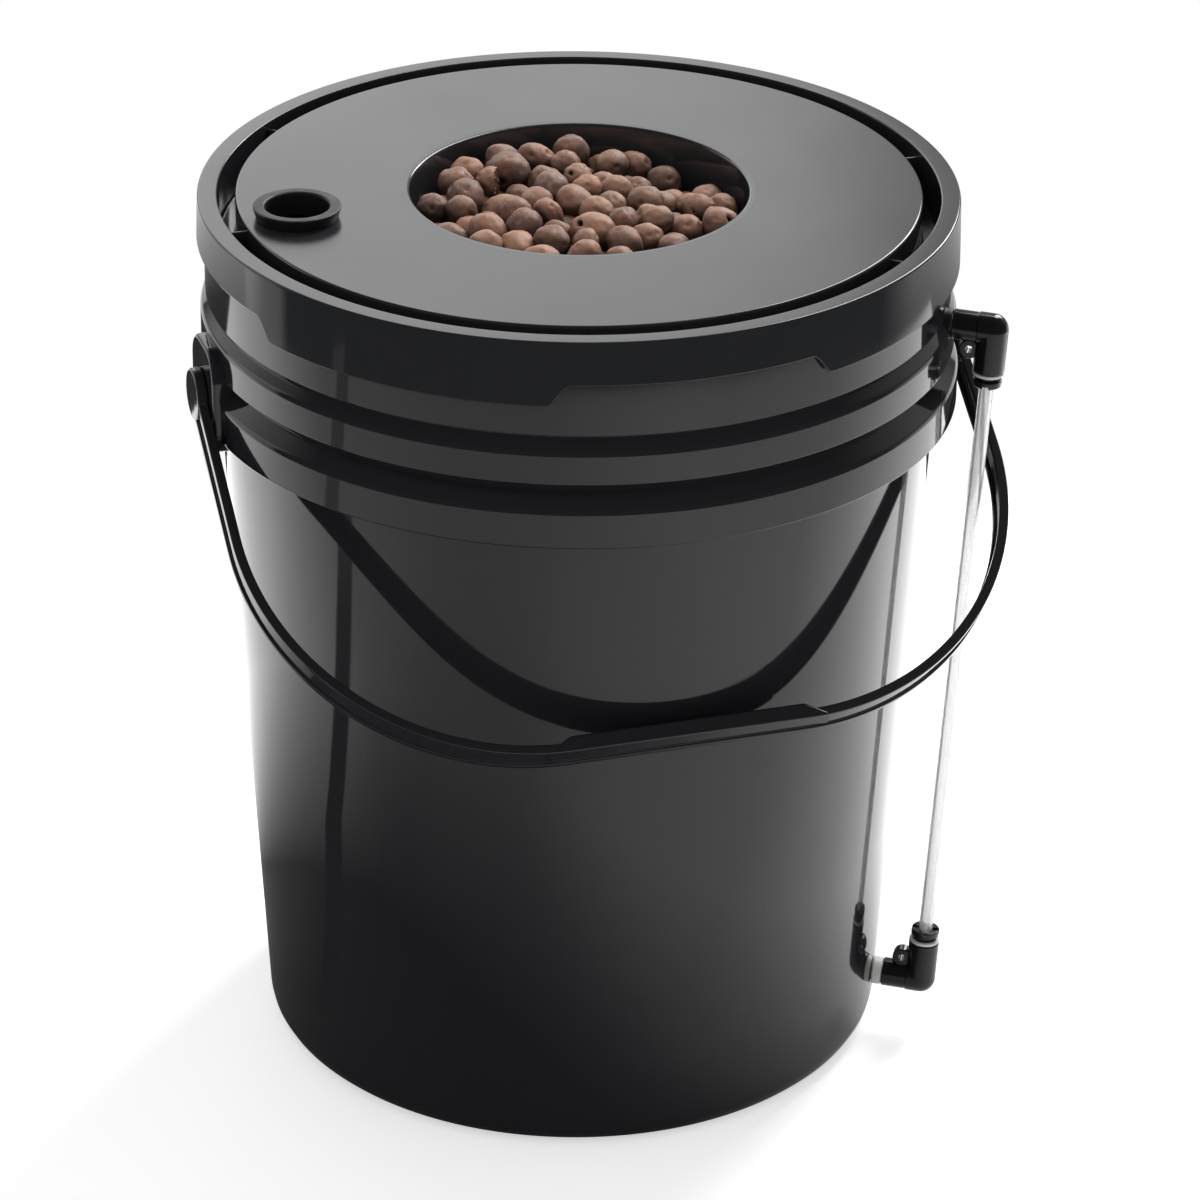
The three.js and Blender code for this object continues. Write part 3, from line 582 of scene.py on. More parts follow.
def basketWindows(bm, step):  # the faces of each opening, inner and outer
    windows = {}
    column, slot = (2 * pi / basket[kind] for kind in ("columns", "slots"))
    for face in bm.faces:
        middle = face.calc_center_median()
        angle = atan2(middle.y, middle.x) % (2 * pi)
        fromFirst = angle - basket["windowShift"] * step
        nearColumn, nearSlot = round(fromFirst / column), round(angle / slot)
        aside, offSlot = abs(fromFirst - nearColumn * column), abs(angle - nearSlot * slot)
        for sill in basketSills:
            if sill < middle.z < sill + basket["tall"] and aside < basket["windowHalf"] * step:
                windows.setdefault((sill, nearColumn % basket["columns"]), set()).add(face)
        inFloor = middle.z < basketInside + weldGap and offSlot < basket["slotHalf"] * step
        if inFloor and basket["slotEnds"][0] < middle.xy.length < basket["slotEnds"][1]:
            windows.setdefault(("floor", nearSlot % basket["slots"]), set()).add(face)
    return windows.values()


def openWindow(bm, faces):
    rim = [edge for edge in {edge for face in faces for edge in face.edges}
           if sum(face in faces for face in edge.link_faces) == 1]
    bmesh.ops.delete(bm, geom=list(faces), context='FACES')
    bmesh.ops.bridge_loops(bm, edges=rim)


def makeBasket():
    bm = turned(basketOutline(), basket["steps"])
    step = 2 * pi / basket["steps"]
    bmesh.ops.rotate(bm, verts=bm.verts, cent=(0, 0, 0), matrix=Matrix.Rotation(step / 2, 3, 'Z'))
    for faces in basketWindows(bm, step):
        openWindow(bm, faces)
    finishPiece(bm, "netBasket", "lid_black", ["net_basket"], body="lid", sharp=45)


makeBasket()

# Clay pebbles: settled in the basket, the middle of the bed left out
clay = {
    "seed": 11, "count": 480, "radius": 7.3, "spread": 0.8, "least": 5.4, "most": 9.2, "fall": 0.15,
    "push": 0.4, "rounds": 400, "surface": 6.5, "dimple": (44, 34), "dimpleDeep": 13, "dimpleWide": 20,
    "play": 0.4, "layers": (1.4, 2.6), "shell": 2.4, "detail": (4, 3, 2), "stretch": (0.86, 1.12),
    "longShare": 0.22, "long": 1.28, "noiseSpan": 50, "lumps": 0.085, "lumpScale": 1.3,
    "lumpFractal": (1, 2, 3), "dents": 0.5, "dentScale": 2.6, "dentFrom": 0.42, "raggedScale": 5,
    "brokenShare": 0.03, "brokenAt": 0.3, "brokenRough": 0.16, "poreOdds": (0.5, 0.35, 0.15),
    "pore": (0.12, 0.21), "poreDeep": 0.22, "poreRagged": 0.4, "poreWall": 2, "poreShadeTint": 3,
}


def pebbleLevel(spots):  # how high the middle of a pebble lies at most
    aside = ((spots[:, :2] - np.array(clay["dimple"])) ** 2).sum(1)
    sink = clay["dimpleDeep"] * np.exp(-aside / (2 * clay["dimpleWide"] ** 2))
    return lid["top"] - clay["surface"] - sink


def settlePebbles():
    rng = np.random.default_rng(clay["seed"])
    count = clay["count"]
    size = np.clip(rng.normal(clay["radius"], clay["spread"], count), clay["least"], clay["most"])
    angle = rng.uniform(0, 2 * pi, count)
    reach = np.sqrt(rng.uniform(0, 1, count)) * (basket["mouth"] - 2 * clay["radius"])
    height = rng.uniform(basketInside + clay["radius"], lid["top"] - clay["surface"], count)
    spots = np.stack([reach * np.cos(angle), reach * np.sin(angle), height], 1)
    apart = size[:, None] + size[None, :]
    for i in range(clay["rounds"]):
        spots[:, 2] -= clay["fall"] * (1 - i / clay["rounds"])
        gap = spots[:, None, :] - spots[None, :, :]
        away = np.linalg.norm(gap, axis=2)
        np.fill_diagonal(away, np.inf)
        overlap = np.clip(apart - away, 0, None) / away
        spots += clay["push"] * (gap * overlap[:, :, None]).sum(1)
        room = basketInner(spots[:, 2]) - size - clay["play"]
        r = np.hypot(spots[:, 0], spots[:, 1])
        spots[:, :2] *= np.minimum(1, room / r)[:, None]
        roof = np.minimum(pebbleLevel(spots), lid["top"] - size + clay["play"])
        spots[:, 2] = np.clip(spots[:, 2], basketInside + size + clay["play"], roof)
    return spots, size, rng


def pebbleShape(vert, axes, seed, broken, pores):
    lump = noise.fractal(vert.co * clay["lumpScale"] + seed, *clay["lumpFractal"]) * clay["lumps"]
    dent = max(noise.noise(vert.co * clay["dentScale"] - seed) - clay["dentFrom"], 0) * clay["dents"]
    ragged = noise.noise(vert.co * clay["raggedScale"] + seed)
    edge = 1 + clay["poreRagged"] * ragged
    pore = max((1 - vert.co.angle(way) / (reach * edge) for way, reach in pores), default=0)
    depth = clay["poreDeep"] * min(max(clay["poreWall"] * pore, 0), 1)
    shape = Vector(a * b for a, b in zip(vert.co, axes)) * (1 + lump - dent - depth)
    if broken and shape.x > clay["brokenAt"]:
        shape.x = clay["brokenAt"] + clay["brokenRough"] * ragged  # a split pebble's rough face
    # the second value is the share of painted shade that darkens the pore
    return shape, min(max(clay["poreShadeTint"] * pore, 0), 1)


def makePebbles():
    spots, size, rng = settlePebbles()
    wallGap = basketInner(spots[:, 2]) - np.hypot(spots[:, 0], spots[:, 1])
    shell = wallGap < clay["shell"] * size
    depth = (pebbleLevel(spots) - spots[:, 2]) / clay["radius"]
    top, surface = (depth < layer for layer in clay["layers"])
    bm = bmesh.new()
    tones, holes = (bm.verts.layers.float.new(name) for name in ("tone", "pore"))
    shown = np.flatnonzero(shell | surface)
    for i in shown:
        detail = clay["detail"][0 if top[i] else 1 if surface[i] else 2]
        ball = bmesh.ops.create_icosphere(bm, subdivisions=detail, radius=1)["verts"]
        axes = rng.uniform(*clay["stretch"], 3)
        if rng.uniform() < clay["longShare"]:
            axes[0] = clay["long"]
        spin = Matrix.Rotation(rng.uniform(0, 2 * pi), 3, Vector(rng.normal(size=3)).normalized())
        tone = rng.uniform(0, 1)
        broken = rng.uniform() < clay["brokenShare"]
        seed = Vector(rng.uniform(0, clay["noiseSpan"], 3))
        pores = [(Vector(rng.normal(size=3)).normalized(), rng.uniform(*clay["pore"]))
                 for _ in range(rng.choice(len(clay["poreOdds"]), p=clay["poreOdds"]))]
        for vert in ball:
            shape, pore = pebbleShape(vert, axes, seed, broken, pores if surface[i] else [])
            vert.co = Vector(spots[i]) + spin @ shape * float(size[i])
            vert[tones] = tone
            vert[holes] = pore
    bmesh.ops.recalc_face_normals(bm, faces=bm.faces)
    print(len(shown), "pebbles shown of", clay["count"], "with", int(top.sum()), "on top")
    finishPiece(bm, "clayPebbles", "fired_clay", ["clay_pebbles"], body="lid", sharp=75, even=False)


makePebbles()


# Lid grommet
def makeGrommet():
    low, top = (corner.z for corner in boxMm("lid_grommet"))
    lipHigh = lid["top"] - lid["plate"] - grommet["lipGap"]
    flangeLow = top - grommet["flangeTall"] - grommet["flangeSink"]
    bore, neck, flange, soft = pick(grommet, "bore neck flange soft")
    underRound, topRound = grommet["flangeRounds"]
    bm = turned([
        (bore, low, soft), (neck, low, soft), (neck + grommet["lip"], lipHigh, soft), (neck, lipHigh),
        (neck, flangeLow), (flange - grommet["taper"], flangeLow, underRound), (flange, top, topRound),
        (bore, top, grommet["mouthRound"]),
    ], grommet["steps"], closed=True, rounds=4)
    finishPiece(bm, "lidGrommet", "black_rubber", ["lid_grommet"], grommetPlace, "lid", sharp=50)


makeGrommet()

# Bail handle, drawn flat: +X along the pivot axis, +Y from the pivot to the grip
bail = {
    "drop": 183.5, "corner": 112, "width": 13, "web": 2.2, "webRound": 0.35, "bead": 4, "beadWidth": 2.8,
    "beadRound": 0.5, "edge": 0.7, "bendSteps": 40, "grip": 118, "gripDepth": 3, "gripRamp": 10,
    "gripEdge": 1.5, "gripSink": 0.1, "gripProud": 0.15, "eye": 11, "eyeThick": 4.2, "eyeRounds": (0.6, 1.1),
    "pin": 4.2, "pinLength": 8.5, "pinRounds": (0.8, 0.3), "slip": 0.4, "gripGap": 0.4, "steps": 48,
}
halfSpan = ears["face"] + bail["slip"] + bail["bead"] / 2
gripInner = bail["drop"] - bail["bead"] / 2 - bail["gripDepth"]


def bailFrame():
    # it hangs until the grip meets the wall: sinPart * sin(lean) + cosPart * cos(lean) = wall
    sinPart = gripInner + pail["draft"] * bail["width"] / 2
    cosPart = pail["draft"] * gripInner - bail["width"] / 2
    wall = wallAt(ears["height"]) + bail["gripGap"]
    lean = asin(wall / hypot(sinPart, cosPart)) - atan2(cosPart, sinPart)
    across = Vector((cos(ears["bearing"]), sin(ears["bearing"]), 0))
    hang = Vector((across.y * sin(lean), -across.x * sin(lean), -cos(lean)))
    turn = Matrix((across, hang, across.cross(hang))).transposed()
    return shift(z=ears["height"]) @ turn.to_4x4()


def bailStrap():
    thick, thin = bail["bead"] / 2, bail["web"] / 2
    wide = bail["width"] / 2
    inset = wide - bail["beadWidth"]
    edge, bead, web = pick(bail, "edge beadRound webRound")
    half = [(thick, -wide, edge), (thick, -inset, bead), (thin, -inset, web), (thin, inset, web),
            (thick, inset, bead), (thick, wide, edge)]
    section = half + [(-x, -z, size) for x, z, size in half]
    bm = wire(section, True, rounds=3)
    straight = halfSpan - bail["corner"]
    bend = bail["drop"] - bail["corner"]
    bmesh.ops.translate(bm, verts=bm.verts, vec=(halfSpan, 0, 0))

    def run(edges, vec):
        made = bmesh.ops.extrude_edge_only(bm, edges=edges)["geom"]
        bmesh.ops.translate(bm, verts=only(made, bmesh.types.BMVert), vec=vec)
        return only(made, bmesh.types.BMEdge)

    def corner(edges, middle, axis):  # the run's far end lies square to the axis
        end = [edge for edge in edges if abs(edge.verts[0].co[axis] - edge.verts[1].co[axis]) < weldGap]
        made = bmesh.ops.spin(bm, geom=end, cent=middle, axis=(0, 0, 1), dvec=(0, 0, 0), angle=pi / 2,
                              steps=bail["bendSteps"])["geom_last"]
        return only(made, bmesh.types.BMEdge)

    last = corner(run(bm.edges[:], (0, bend, 0)), (straight, bend, 0), axis=1)
    last = corner(run(last, (-2 * straight, 0, 0)), (-straight, bend, 0), axis=0)
    run(last, (0, -bend, 0))
    welded(bm)
    bmesh.ops.holes_fill(bm, edges=[edge for edge in bm.edges if edge.is_boundary], sides=0)
    return welded(bm)


def bailGrip():
    half = bail["grip"] / 2
    shoulder = half - bail["gripRamp"]
    shelf = bail["drop"] + bail["web"] / 2 - bail["gripSink"]
    side = -bail["width"] / 2 - bail["gripProud"]
    bm = bmesh.new()
    corners = [(-half, shelf), (-shoulder, gripInner), (shoulder, gripInner), (half, shelf)]
    face = bm.faces.new([bm.verts.new((x, y, side)) for x, y in corners])
    made = bmesh.ops.extrude_face_region(bm, geom=[face])["geom"]
    bmesh.ops.translate(bm, verts=only(made, bmesh.types.BMVert), vec=(0, 0, -2 * side))
    inner = [edge for edge in bm.edges if max(vert.co.y for vert in edge.verts) < shelf + weldGap
             and min(vert.co.y for vert in edge.verts) < gripInner + weldGap]
    roundOff(bm, inner, bail["gripEdge"], rounds=4)
    return welded(bm)


def bailEnd(turn):
    eyeLow, eyeHigh = halfSpan - bail["eyeThick"] / 2, halfSpan + bail["eyeThick"] / 2
    tip = ears["face"] - bail["pinLength"]
    tipRound, rootRound = bail["pinRounds"]
    innerRound, outerRound = bail["eyeRounds"]
    bm = turned([(0, tip), (bail["pin"], tip, tipRound), (bail["pin"], eyeLow, rootRound),
                 (bail["eye"], eyeLow, innerRound), (bail["eye"], eyeHigh, outerRound), (0, eyeHigh)],
                bail["steps"])
    return placed(bm, turn @ alongX)


def makeHandle():
    bm = joined(bailStrap(), bailGrip(), gathered([bailEnd(turn) for turn in turns(2)]))
    finishPiece(bm, "bailHandle", "bucket_black", ["handle"], bailFrame(), "handle", sharp=40)


makeHandle()

# Push-fit fittings, each drawn as the upper one: the wall's face at x = 0, the leg down from the corner
fitting = {
    "elbow": 6.5, "sleeve": 6.2, "sleeveStart": 4.6, "seam": 15, "groove": 0.35, "seamRounds": (0.12, 0.35),
    "leg": 18.5, "legRound": 0.6, "stop": 5, "sealSeat": 6.9, "mouth": 4.9, "tubeHole": 3.3, "soft": 0.5,
    "lug": 4.2, "lugHole": 1.6, "lugThick": 5, "lugSpot": (12.4, -9.4), "lugSteps": 32, "ring": (18.8, 20.1),
    "ringRounds": (0.15, 0.35), "flange": 6, "flangeStart": 21.9, "flangeEnd": 24.9,
    "flangeRounds": (0.4, 0.5), "barrel": 4.6, "barrelRound": 0.2, "colletStart": 11.3, "notches": 4,
    "notch": (2.4, 1.2), "washer": 6, "washerEnds": (0.3, 4.3), "washerRounds": (0.3, 0.6), "stem": 4,
    "stemIn": -11, "stemEnd": 11.6, "stemPlay": 0.3, "stemRounds": (0.3, 0.2), "pitch": 1, "thread": 0.45,
    "threadStart": 0.6, "nutFlats": 14, "nutEdge": 0.5, "steps": 64, "boreSteps": 40,
}
onLeg = shift(gauge["standoff"]) @ rotation(pi, 'X')
lugX, lugZ = fitting["lugSpot"]
lugPlace = shift(lugX, z=lugZ) @ rotation(pi / 2, 'X')


def fitPiece(bm, end, node, slot, turn=Matrix(), **settings):
    name = end + node.title().replace("_", "")
    finishPiece(bm, name, slot, [end + "_" + node], fittingFrames[end] @ turn, **settings)


def elbowBody():
    body, outer, soft, steps = pick(fitting, "elbow sleeve soft steps")
    start, seam, corner = fitting["sleeveStart"], fitting["seam"], gauge["standoff"]
    grooveLow, grooveRadius = seam - fitting["groove"], outer - fitting["groove"]
    grooveRound, seamRound = fitting["seamRounds"]
    arm = turned([(0, start), (outer, start, soft), (outer, grooveLow, grooveRound),
                  (grooveRadius, grooveLow), (grooveRadius, seam), (body, seam, seamRound), (body, corner),
                  (0, corner)], steps)
    leg = rod(body, 0, fitting["leg"], steps, highRound=fitting["legRound"])
    ball = bmesh.new()
    bmesh.ops.create_uvsphere(ball, u_segments=steps, v_segments=steps // 2, radius=body,
                              matrix=shift(corner))
    thick = fitting["lugThick"] / 2
    lug = rod(fitting["lug"], -thick, thick, fitting["boreSteps"], soft, soft)
    return joined(placed(arm, alongX), ball, placed(leg, onLeg), placed(lug, lugPlace))


def elbowBores():
    steps, thick = fitting["boreSteps"], fitting["lugThick"]
    leg = drill(0, [(gauge["bore"], fitting["stop"]), (fitting["tubeHole"], fitting["sealSeat"]),
                    (fitting["mouth"], fitting["leg"] + overrun)], steps)
    stemSeat = fitting["stemEnd"] + fitting["stemPlay"]
    arm = drill(fitting["sleeveStart"] - overrun,
                [(gauge["stemHole"], stemSeat), (gauge["bore"], gauge["standoff"])], steps)
    lug = rod(fitting["lugHole"], -thick, thick, fitting["lugSteps"])
    return placed(leg, onLeg), placed(arm, alongX), placed(lug, lugPlace)


def makeCollet(end):
    low, flangeLow, high = pick(fitting, "colletStart flangeStart flangeEnd")
    hole, barrel, flange = pick(fitting, "tubeHole barrel flange")
    innerRound, outerRound = fitting["flangeRounds"]
    bm = turned([(hole, low), (barrel, low, fitting["barrelRound"]), (barrel, flangeLow),
                 (flange, flangeLow, innerRound), (flange, high, outerRound), (hole, high, innerRound)],
                fitting["steps"], closed=True)
    wide, deep = fitting["notch"]
    notches = [placed(block((2 * flange, wide, 2 * deep), (flange, 0, high)), turn)
               for turn in turns(fitting["notches"])]
    fitPiece(cut(bm, *notches), end, "collet", "fitting_black", onLeg, body=end + "_collet")


def makeStem(end):  # threaded inside the bucket
    low, high, radius, pitch = pick(fitting, "stemIn stemEnd stem pitch")
    outerRound, innerRound = fitting["stemRounds"]
    outline = [(gauge["bore"], low, outerRound)]
    for crest in np.arange(low + fitting["threadStart"], pitch - pail["wall"], pitch):
        outline += [(radius - fitting["thread"], crest - pitch / 2), (radius, crest)]
    outline += [(radius, high, outerRound), (gauge["bore"], high, innerRound)]
    bm = turned(outline, fitting["boreSteps"], closed=True)
    fitPiece(bm, end, "stem", "white_nylon", alongX, sharp=30, even=False)


def nutEnds(end):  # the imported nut's faces, measured along its stem
    back = fittingFrames[end].inverted() @ Matrix.Scale(1000, 4)
    reach = [(back @ vert.co).x for vert in frame["nodes"][end + "_locknut"].data.vertices]
    return min(reach), max(reach)


def makeLocknut(end):
    corner = fitting["nutFlats"] / sqrt(3)
    low, high = nutEnds(end)
    bm = bmesh.new()
    bmesh.ops.create_cone(bm, cap_ends=True, segments=6, radius1=corner, radius2=corner, depth=high - low,
                          matrix=shift(z=(low + high) / 2))
    roundOff(bm, bm.edges[:], fitting["nutEdge"], rounds=3)
    bm = cut(bm, rod(gauge["stemHole"], low - overrun, high + overrun, fitting["boreSteps"]))
    fitPiece(bm, end, "locknut", "fitting_black", alongX)


def makeFitting(end, washerSlot):
    steps = fitting["steps"]
    fitPiece(cut(elbowBody(), *elbowBores()), end, "elbow", "fitting_black")
    makeCollet(end)
    ring = sleeve(fitting["mouth"], fitting["elbow"], *fitting["ring"], *fitting["ringRounds"], steps)
    fitPiece(ring, end, "guide_ring", "white_nylon", onLeg)
    washer = sleeve(gauge["stemHole"], fitting["washer"], *fitting["washerEnds"],
                    *fitting["washerRounds"], steps)
    fitPiece(washer, end, "washer", washerSlot, alongX)
    makeStem(end)
    makeLocknut(end)
    frame["nodes"][end + "_o_ring"].material_slots[0].material = finishes["black_rubber"]
    frame["nodes"][end + "_grab_ring"].material_slots[0].material = springSteel


def makeTube():
    low, high = gauge["lower"] + gauge["tubeEnd"], gauge["upper"] - gauge["tubeEnd"]
    bm = sleeve(gauge["bore"], gauge["tube"], low, high, *gauge["tubeRounds"], gauge["steps"])
    finishPiece(bm, "sightTube", "clear_tube", ["sight_tube"], gaugeFrame @ shift(gauge["standoff"]))


makeTube()
makeFitting("upper", "black_rubber")
makeFitting("lower", "white_nylon")

# Air stone: a porous disc in a cup on three sucker feet
stone = {
    "radius": 38, "edge": 3, "edgeInset": 0.9, "soft": 0.6, "firstRing": 35, "ringStep": 3, "coarse": 4,
    "cuts": 2, "plainFoot": 1, "grit": 0.35, "gritScale": 0.9, "seed": (3.1, 7.7, 1.3), "cupWall": 2,
    "cupFloor": 3, "cupTall": 9, "cupEdge": 1.2, "cupInside": 0.5, "footRadius": 8, "footStem": 2.4,
    "footDish": 1.5, "footRounds": (0.3, 0.5, 0.4), "footCircle": 28, "feet": 3, "stemTall": 2,
    "stemSteps": 24, "barb": 2.6, "barbBore": 1.4, "barbRidge": 0.7, "barbRidges": 2, "barbSeat": 4,
    "barbLong": 12, "barbRounds": (0.3, 0.15, 0.2), "boss": 4.4, "bossLong": 5, "bossSink": 0.6,
    "bossSteps": 48, "boreSteps": 32, "smallSteps": 40, "gap": 0.3, "steps": 128,
}
stoneTurn = rotation(atan2(grommet["middle"].y, grommet["middle"].x), 'Z')
cupUnder = boxMm("air_stone_base")[0].z
cupBore = stone["radius"] + stone["gap"]
cupOuter = cupBore + stone["cupWall"]
bossEnd = cupOuter + stone["bossLong"]
barbStart = bossEnd - stone["barbSeat"]
barbPlace = shift(z=cupUnder + stone["cupTall"] / 2) @ alongX
footSpots = [turn @ shift(stone["footCircle"]) for turn in turns(stone["feet"])]


def makeStone():
    low, high = (corner.z for corner in boxMm("air_stone"))
    radius, inset = pick(stone, "radius edgeInset")
    rings = [(r, high) for r in range(stone["firstRing"], 0, -stone["ringStep"])]
    bm = turned([(0, low), (radius, low, stone["soft"]), (radius, high - stone["edge"]),
                 (radius - inset, high - inset), *rings, (0, high)], stone["steps"])
    coarse = [edge for edge in bm.edges if edge.calc_length() > stone["coarse"]]
    bmesh.ops.subdivide_edges(bm, edges=coarse, cuts=stone["cuts"], use_grid_fill=True)
    seed = Vector(stone["seed"])
    for vert in bm.verts:
        if vert.co.z > low + stone["plainFoot"]:
            vert.co -= vert.normal * stone["grit"] * abs(noise.noise(vert.co * stone["gritScale"] + seed))
    finishPiece(bm, "airStone", "porous_stone", ["air_stone"], stoneTurn, sharp=60, even=False)


def makeCup():
    top, inside, soft = cupUnder + stone["cupTall"], cupUnder + stone["cupFloor"], stone["soft"]
    bm = turned([(0, cupUnder), (cupOuter, cupUnder, stone["cupEdge"]), (cupOuter, top, soft),
                 (cupBore, top, soft), (cupBore, inside, stone["cupInside"]), (0, inside)], stone["steps"])
    boss = rod(stone["boss"], cupBore + stone["bossSink"], bossEnd, stone["bossSteps"], highRound=soft)
    bm = joined(bm, placed(boss, barbPlace))
    gap = stone["gap"]
    stages = [(stone["barbBore"], barbStart - gap), (stone["barb"] + gap, bossEnd + overrun)]
    bore = drill(cupBore - overrun, stages, stone["boreSteps"])
    stemRoom, holeTop = stone["footStem"] + gap, cupUnder + stone["stemTall"] + gap
    holes = [placed(rod(stemRoom, cupUnder - overrun, holeTop, stone["stemSteps"]), spot)
             for spot in footSpots]
    bm = cut(bm, placed(bore, barbPlace), gathered(holes))
    finishPiece(bm, "airStoneCup", "blue_plastic", ["air_stone_base"], stoneTurn)


def makeFeet():
    low = boxMm("air_stone_foot_1")[0].z
    shoulder, top = cupUnder - stone["gap"], cupUnder + stone["stemTall"]
    radius, stem, dish = pick(stone, "footRadius footStem footDish")
    lipRound, shoulderRound, topRound = stone["footRounds"]
    outline = [(0, low + dish), (radius - dish, low, lipRound), (radius, low, lipRound),
               (stem + dish, shoulder, shoulderRound), (stem, shoulder), (stem, top, topRound), (0, top)]
    for i, spot in enumerate(footSpots, 1):
        finishPiece(turned(outline, stone["smallSteps"]), "airStoneFoot" + str(i), "black_rubber",
                    ["air_stone_foot_" + str(i)], stoneTurn @ spot)


def makeBarb():
    tip = barbStart + stone["barbLong"]
    bore, thin, ridge = stone["barbBore"], stone["barb"], stone["barb"] + stone["barbRidge"]
    startRound, ridgeRound, tipRound = stone["barbRounds"]
    step = (tip - bossEnd) / (stone["barbRidges"] + 1)
    outline = [(bore, barbStart), (thin, barbStart, startRound)]
    for i in range(stone["barbRidges"], 0, -1):
        outline += [(thin, tip - i * step), (ridge, tip - i * step, ridgeRound)]
    outline += [(thin, tip, tipRound), (bore, tip, tipRound)]
    finishPiece(turned(outline, stone["smallSteps"], closed=True), "airStoneBarb", "white_nylon",
                ["air_stone_barb"], stoneTurn @ barbPlace)


makeStone()
makeCup()
makeFeet()
makeBarb()
print("pieces modelled")

# Studio: a round pale sheet under the bucket, a window behind on the right and a pale wall behind
studio = {
    "floorRadius": 0.93, "floorBack": 0.5, "floorSteps": 128, "floorTone": 0.9, "floorGlow": 0.56,
    "ambient": 0.5, "dark": 0.05, "shadeMiddle": (-0.1, -0.05, 0), "aim": (0, 0, 0.37),
    "edgeWidth": (0.02, 0.075), "edgeLift": 0.001,
    "edgeLine": [(-0.15, -0.068), (-0.3, -0.075), (-0.47, -0.147), (-0.95, -0.36)],
    "panels": {
        "window": {"spot": (0.92, 1.47, 1.73), "size": (0.8, 1.6), "power": 46},
        "behind": {"spot": (-0.7, 2.2, 1.3), "size": (2.0, 1.2), "power": 8.6},
    },
}
ramps = {  # to low, to high, from low and from high
    "shade": (0.08, 1, 0.16, 0.34), "backGlow": (0, 1.1, -0.2, 0.16), "rightGlow": (0, 0.3, -0.1, 0.35),
    "rightDim": (1, 0.5, 0.5, 0.85), "edge": (0.3, 0.05, -0.6, -0.4), "wallTone": (0.95, 0.42, -0.1, 0.1),
    "wallBehind": (0, 1, 0.1, 0.5), "wallUnder": (1, 0, 0.55, 0.8), "wallOver": (0, 1, 0, 0.2),
    "side": (0.7, 0, -0.84, -0.82), "sideBack": (0, 1, 0.1, 0.16), "farFloor": (0, 1.1, -0.4, -0.36),
    "belowHorizon": (1, 0, -0.01, 0.01), "farBack": (0, 1, 0.2, 0.45),
}


def ramp(tree, value, name):
    return spread(tree, value, *ramps[name])


def stagePiece(name, bm, mat):
    obj = linked(bm, name, mat)
    return obj


def makeFloor():
    bm = bmesh.new()
    bmesh.ops.create_circle(bm, cap_ends=True, segments=studio["floorSteps"], radius=studio["floorRadius"])
    bmesh.ops.bisect_plane(bm, geom=bm.verts[:] + bm.edges[:] + bm.faces[:], plane_no=(0, 1, 0),
                           plane_co=(0, studio["floorBack"], 0), clear_outer=True)
    mat, tree = newFinish("paleFloor")
    tree.nodes.clear()
    path = addNode(tree, "LightPath").outputs
    place = addNode(tree, "TexCoord").outputs["Object"]
    spot = coordinates(tree, place)
    ends = {0: place, 1: studio["shadeMiddle"]}
    away = addNode(tree, "VectorMath", ends, operation='DISTANCE').outputs["Value"]
    shade = ramp(tree, away, "shade")  # deeper near the foot in the gloss
    glows = reckon(tree, 'ADD', ramp(tree, spot["Y"], "backGlow"), ramp(tree, spot["X"], "rightGlow"))
    sheen = reckon(tree, 'MULTIPLY', glows, shade, ramp(tree, spot["X"], "rightDim"))
    white = reckon(tree, 'MAXIMUM', path["Is Camera Ray"], path["Is Transmission Ray"])
    shown = reckon(tree, 'MULTIPLY', white, studio["floorGlow"])
    mirrored = reckon(tree, 'MULTIPLY', path["Is Glossy Ray"], sheen)
    glow = reckon(tree, 'MAXIMUM', shown, mirrored)
    grey = addNode(tree, "Mix", {0: path["Is Glossy Ray"], 2: 1.0, 3: shade}).outputs[0]
    pale = reckon(tree, 'MULTIPLY', grey, studio["floorTone"])
    matt = addNode(tree, "BsdfDiffuse", {"Color": pale}).outputs[0]
    light = addNode(tree, "Emission", {"Strength": glow}).outputs[0]
    both = addNode(tree, "AddShader", {0: matt, 1: light}).outputs[0]
    addNode(tree, "OutputMaterial", {"Surface": both})
    stagePiece("studioFloor", bm, mat)


def makeEdgeStrip():  # the sheet's dark edge on the left, seen in the gloss only
    bm = bmesh.new()
    line = studio["edgeLine"]
    halves = np.linspace(*studio["edgeWidth"], len(line)) / 2
    pairs = [[bm.verts.new((x, y + side * half, studio["edgeLift"])) for side in (-1, 1)]
             for (x, y), half in zip(line, halves)]
    for (a, b), (c, d) in zip(pairs, pairs[1:]):
        bm.faces.new((a, b, d, c))
    mat, tree = newFinish("darkEdge")
    tree.nodes.clear()
    along = coordinates(tree, addNode(tree, "TexCoord").outputs["Object"])["X"]
    dark = addNode(tree, "Emission", {"Strength": ramp(tree, along, "edge")}).outputs[0]
    addNode(tree, "OutputMaterial", {"Surface": dark})
    strip = stagePiece("sheetEdge", bm, mat)
    strip.visible_camera = False
    strip.visible_diffuse = False
    strip.visible_shadow = False


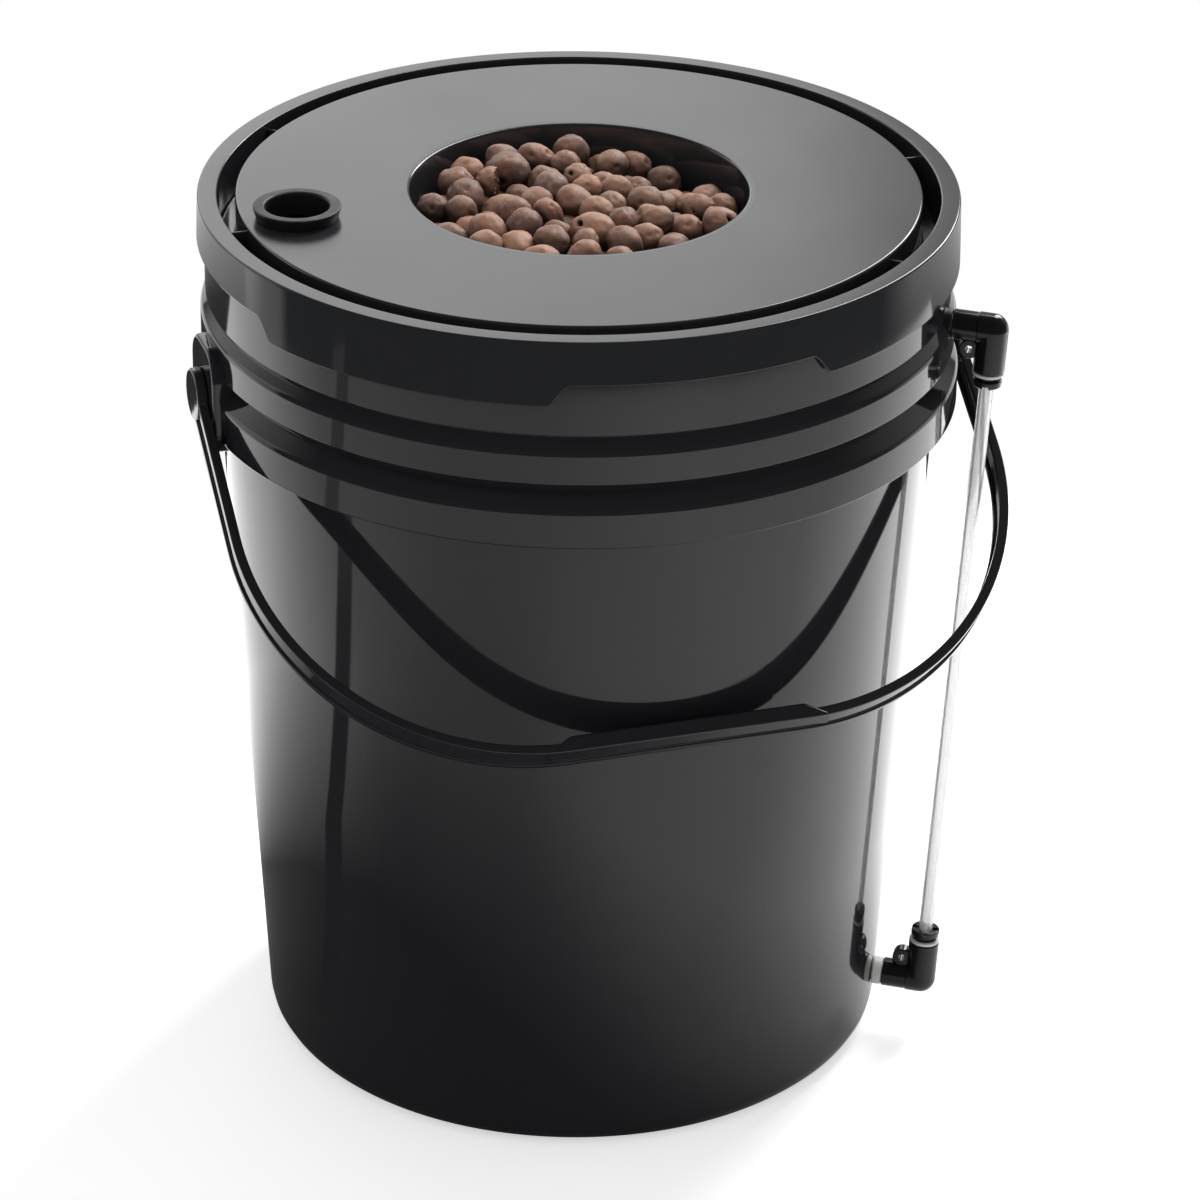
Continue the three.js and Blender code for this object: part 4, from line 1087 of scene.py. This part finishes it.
def makeWorld():
    world = bpy.data.worlds.new("paleStudio")
    world.use_nodes = True
    tree = world.node_tree
    tree.nodes.clear()
    path = addNode(tree, "LightPath").outputs
    way = coordinates(tree, addNode(tree, "TexCoord").outputs["Generated"])
    x, y, z = way["X"], way["Y"], way["Z"]
    wall = reckon(tree, 'MULTIPLY', ramp(tree, y, "wallBehind"), ramp(tree, z, "wallUnder"),
                  ramp(tree, z, "wallOver"), ramp(tree, x, "wallTone"))
    side = reckon(tree, 'MULTIPLY', ramp(tree, x, "side"), ramp(tree, y, "sideBack"))
    farFloor = reckon(tree, 'MULTIPLY', ramp(tree, z, "farFloor"), ramp(tree, z, "belowHorizon"),
                      ramp(tree, y, "farBack"))  # the floor goes on under the horizon
    seen = reckon(tree, 'ADD', wall, side, farFloor, studio["dark"])
    white = reckon(tree, 'MAXIMUM', path["Is Camera Ray"], path["Is Transmission Ray"])
    mirrored = addNode(tree, "Mix", {0: path["Is Glossy Ray"], 2: studio["ambient"], 3: seen}).outputs[0]
    level = addNode(tree, "Mix", {0: white, 2: mirrored, 3: 1.0}).outputs[0]
    sky = addNode(tree, "Background", {"Color": (1, 1, 1, 1), "Strength": level}).outputs[0]
    addNode(tree, "OutputWorld", {"Surface": sky})
    scene.world = world


def makePanel(name, panel):
    lamp = bpy.data.lights.new(name, 'AREA')
    lamp.shape = 'RECTANGLE'
    lamp.size, lamp.size_y = panel["size"]
    lamp.energy = panel["power"]
    obj = bpy.data.objects.new(name, lamp)
    scene.collection.objects.link(obj)
    spot = Vector(panel["spot"])
    facing = (Vector(studio["aim"]) - spot).to_track_quat('-Z', 'Y')
    obj.matrix_world = Matrix.Translation(spot) @ facing.to_matrix().to_4x4()


makeFloor()
makeEdgeStrip()
makeWorld()
for name, panel in studio["panels"].items():
    makePanel(name, panel)
scene.view_settings.view_transform = 'Standard'
print("studio lit")

# Camera at the photograph's viewing angle
view = {"spot": (0, -1.9295, 1.1721), "pitch": -26.99, "yaw": 0.31, "roll": 0.68, "lens": 153.2,
        "sensor": 36}


def makeCamera():
    camera = bpy.data.objects.new("camera", bpy.data.cameras.new("camera"))
    scene.collection.objects.link(camera)
    camera.data.lens = view["lens"]
    camera.data.sensor_width = view["sensor"]
    yaw, pitch, roll = (radians(view[key]) for key in ("yaw", "pitch", "roll"))
    turn = rotation(-yaw, 'Z') @ rotation(pi / 2 + pitch, 'X') @ rotation(roll, 'Z')
    camera.matrix_world = Matrix.Translation(view["spot"]) @ turn
    scene.camera = camera


makeCamera()
print("camera set")
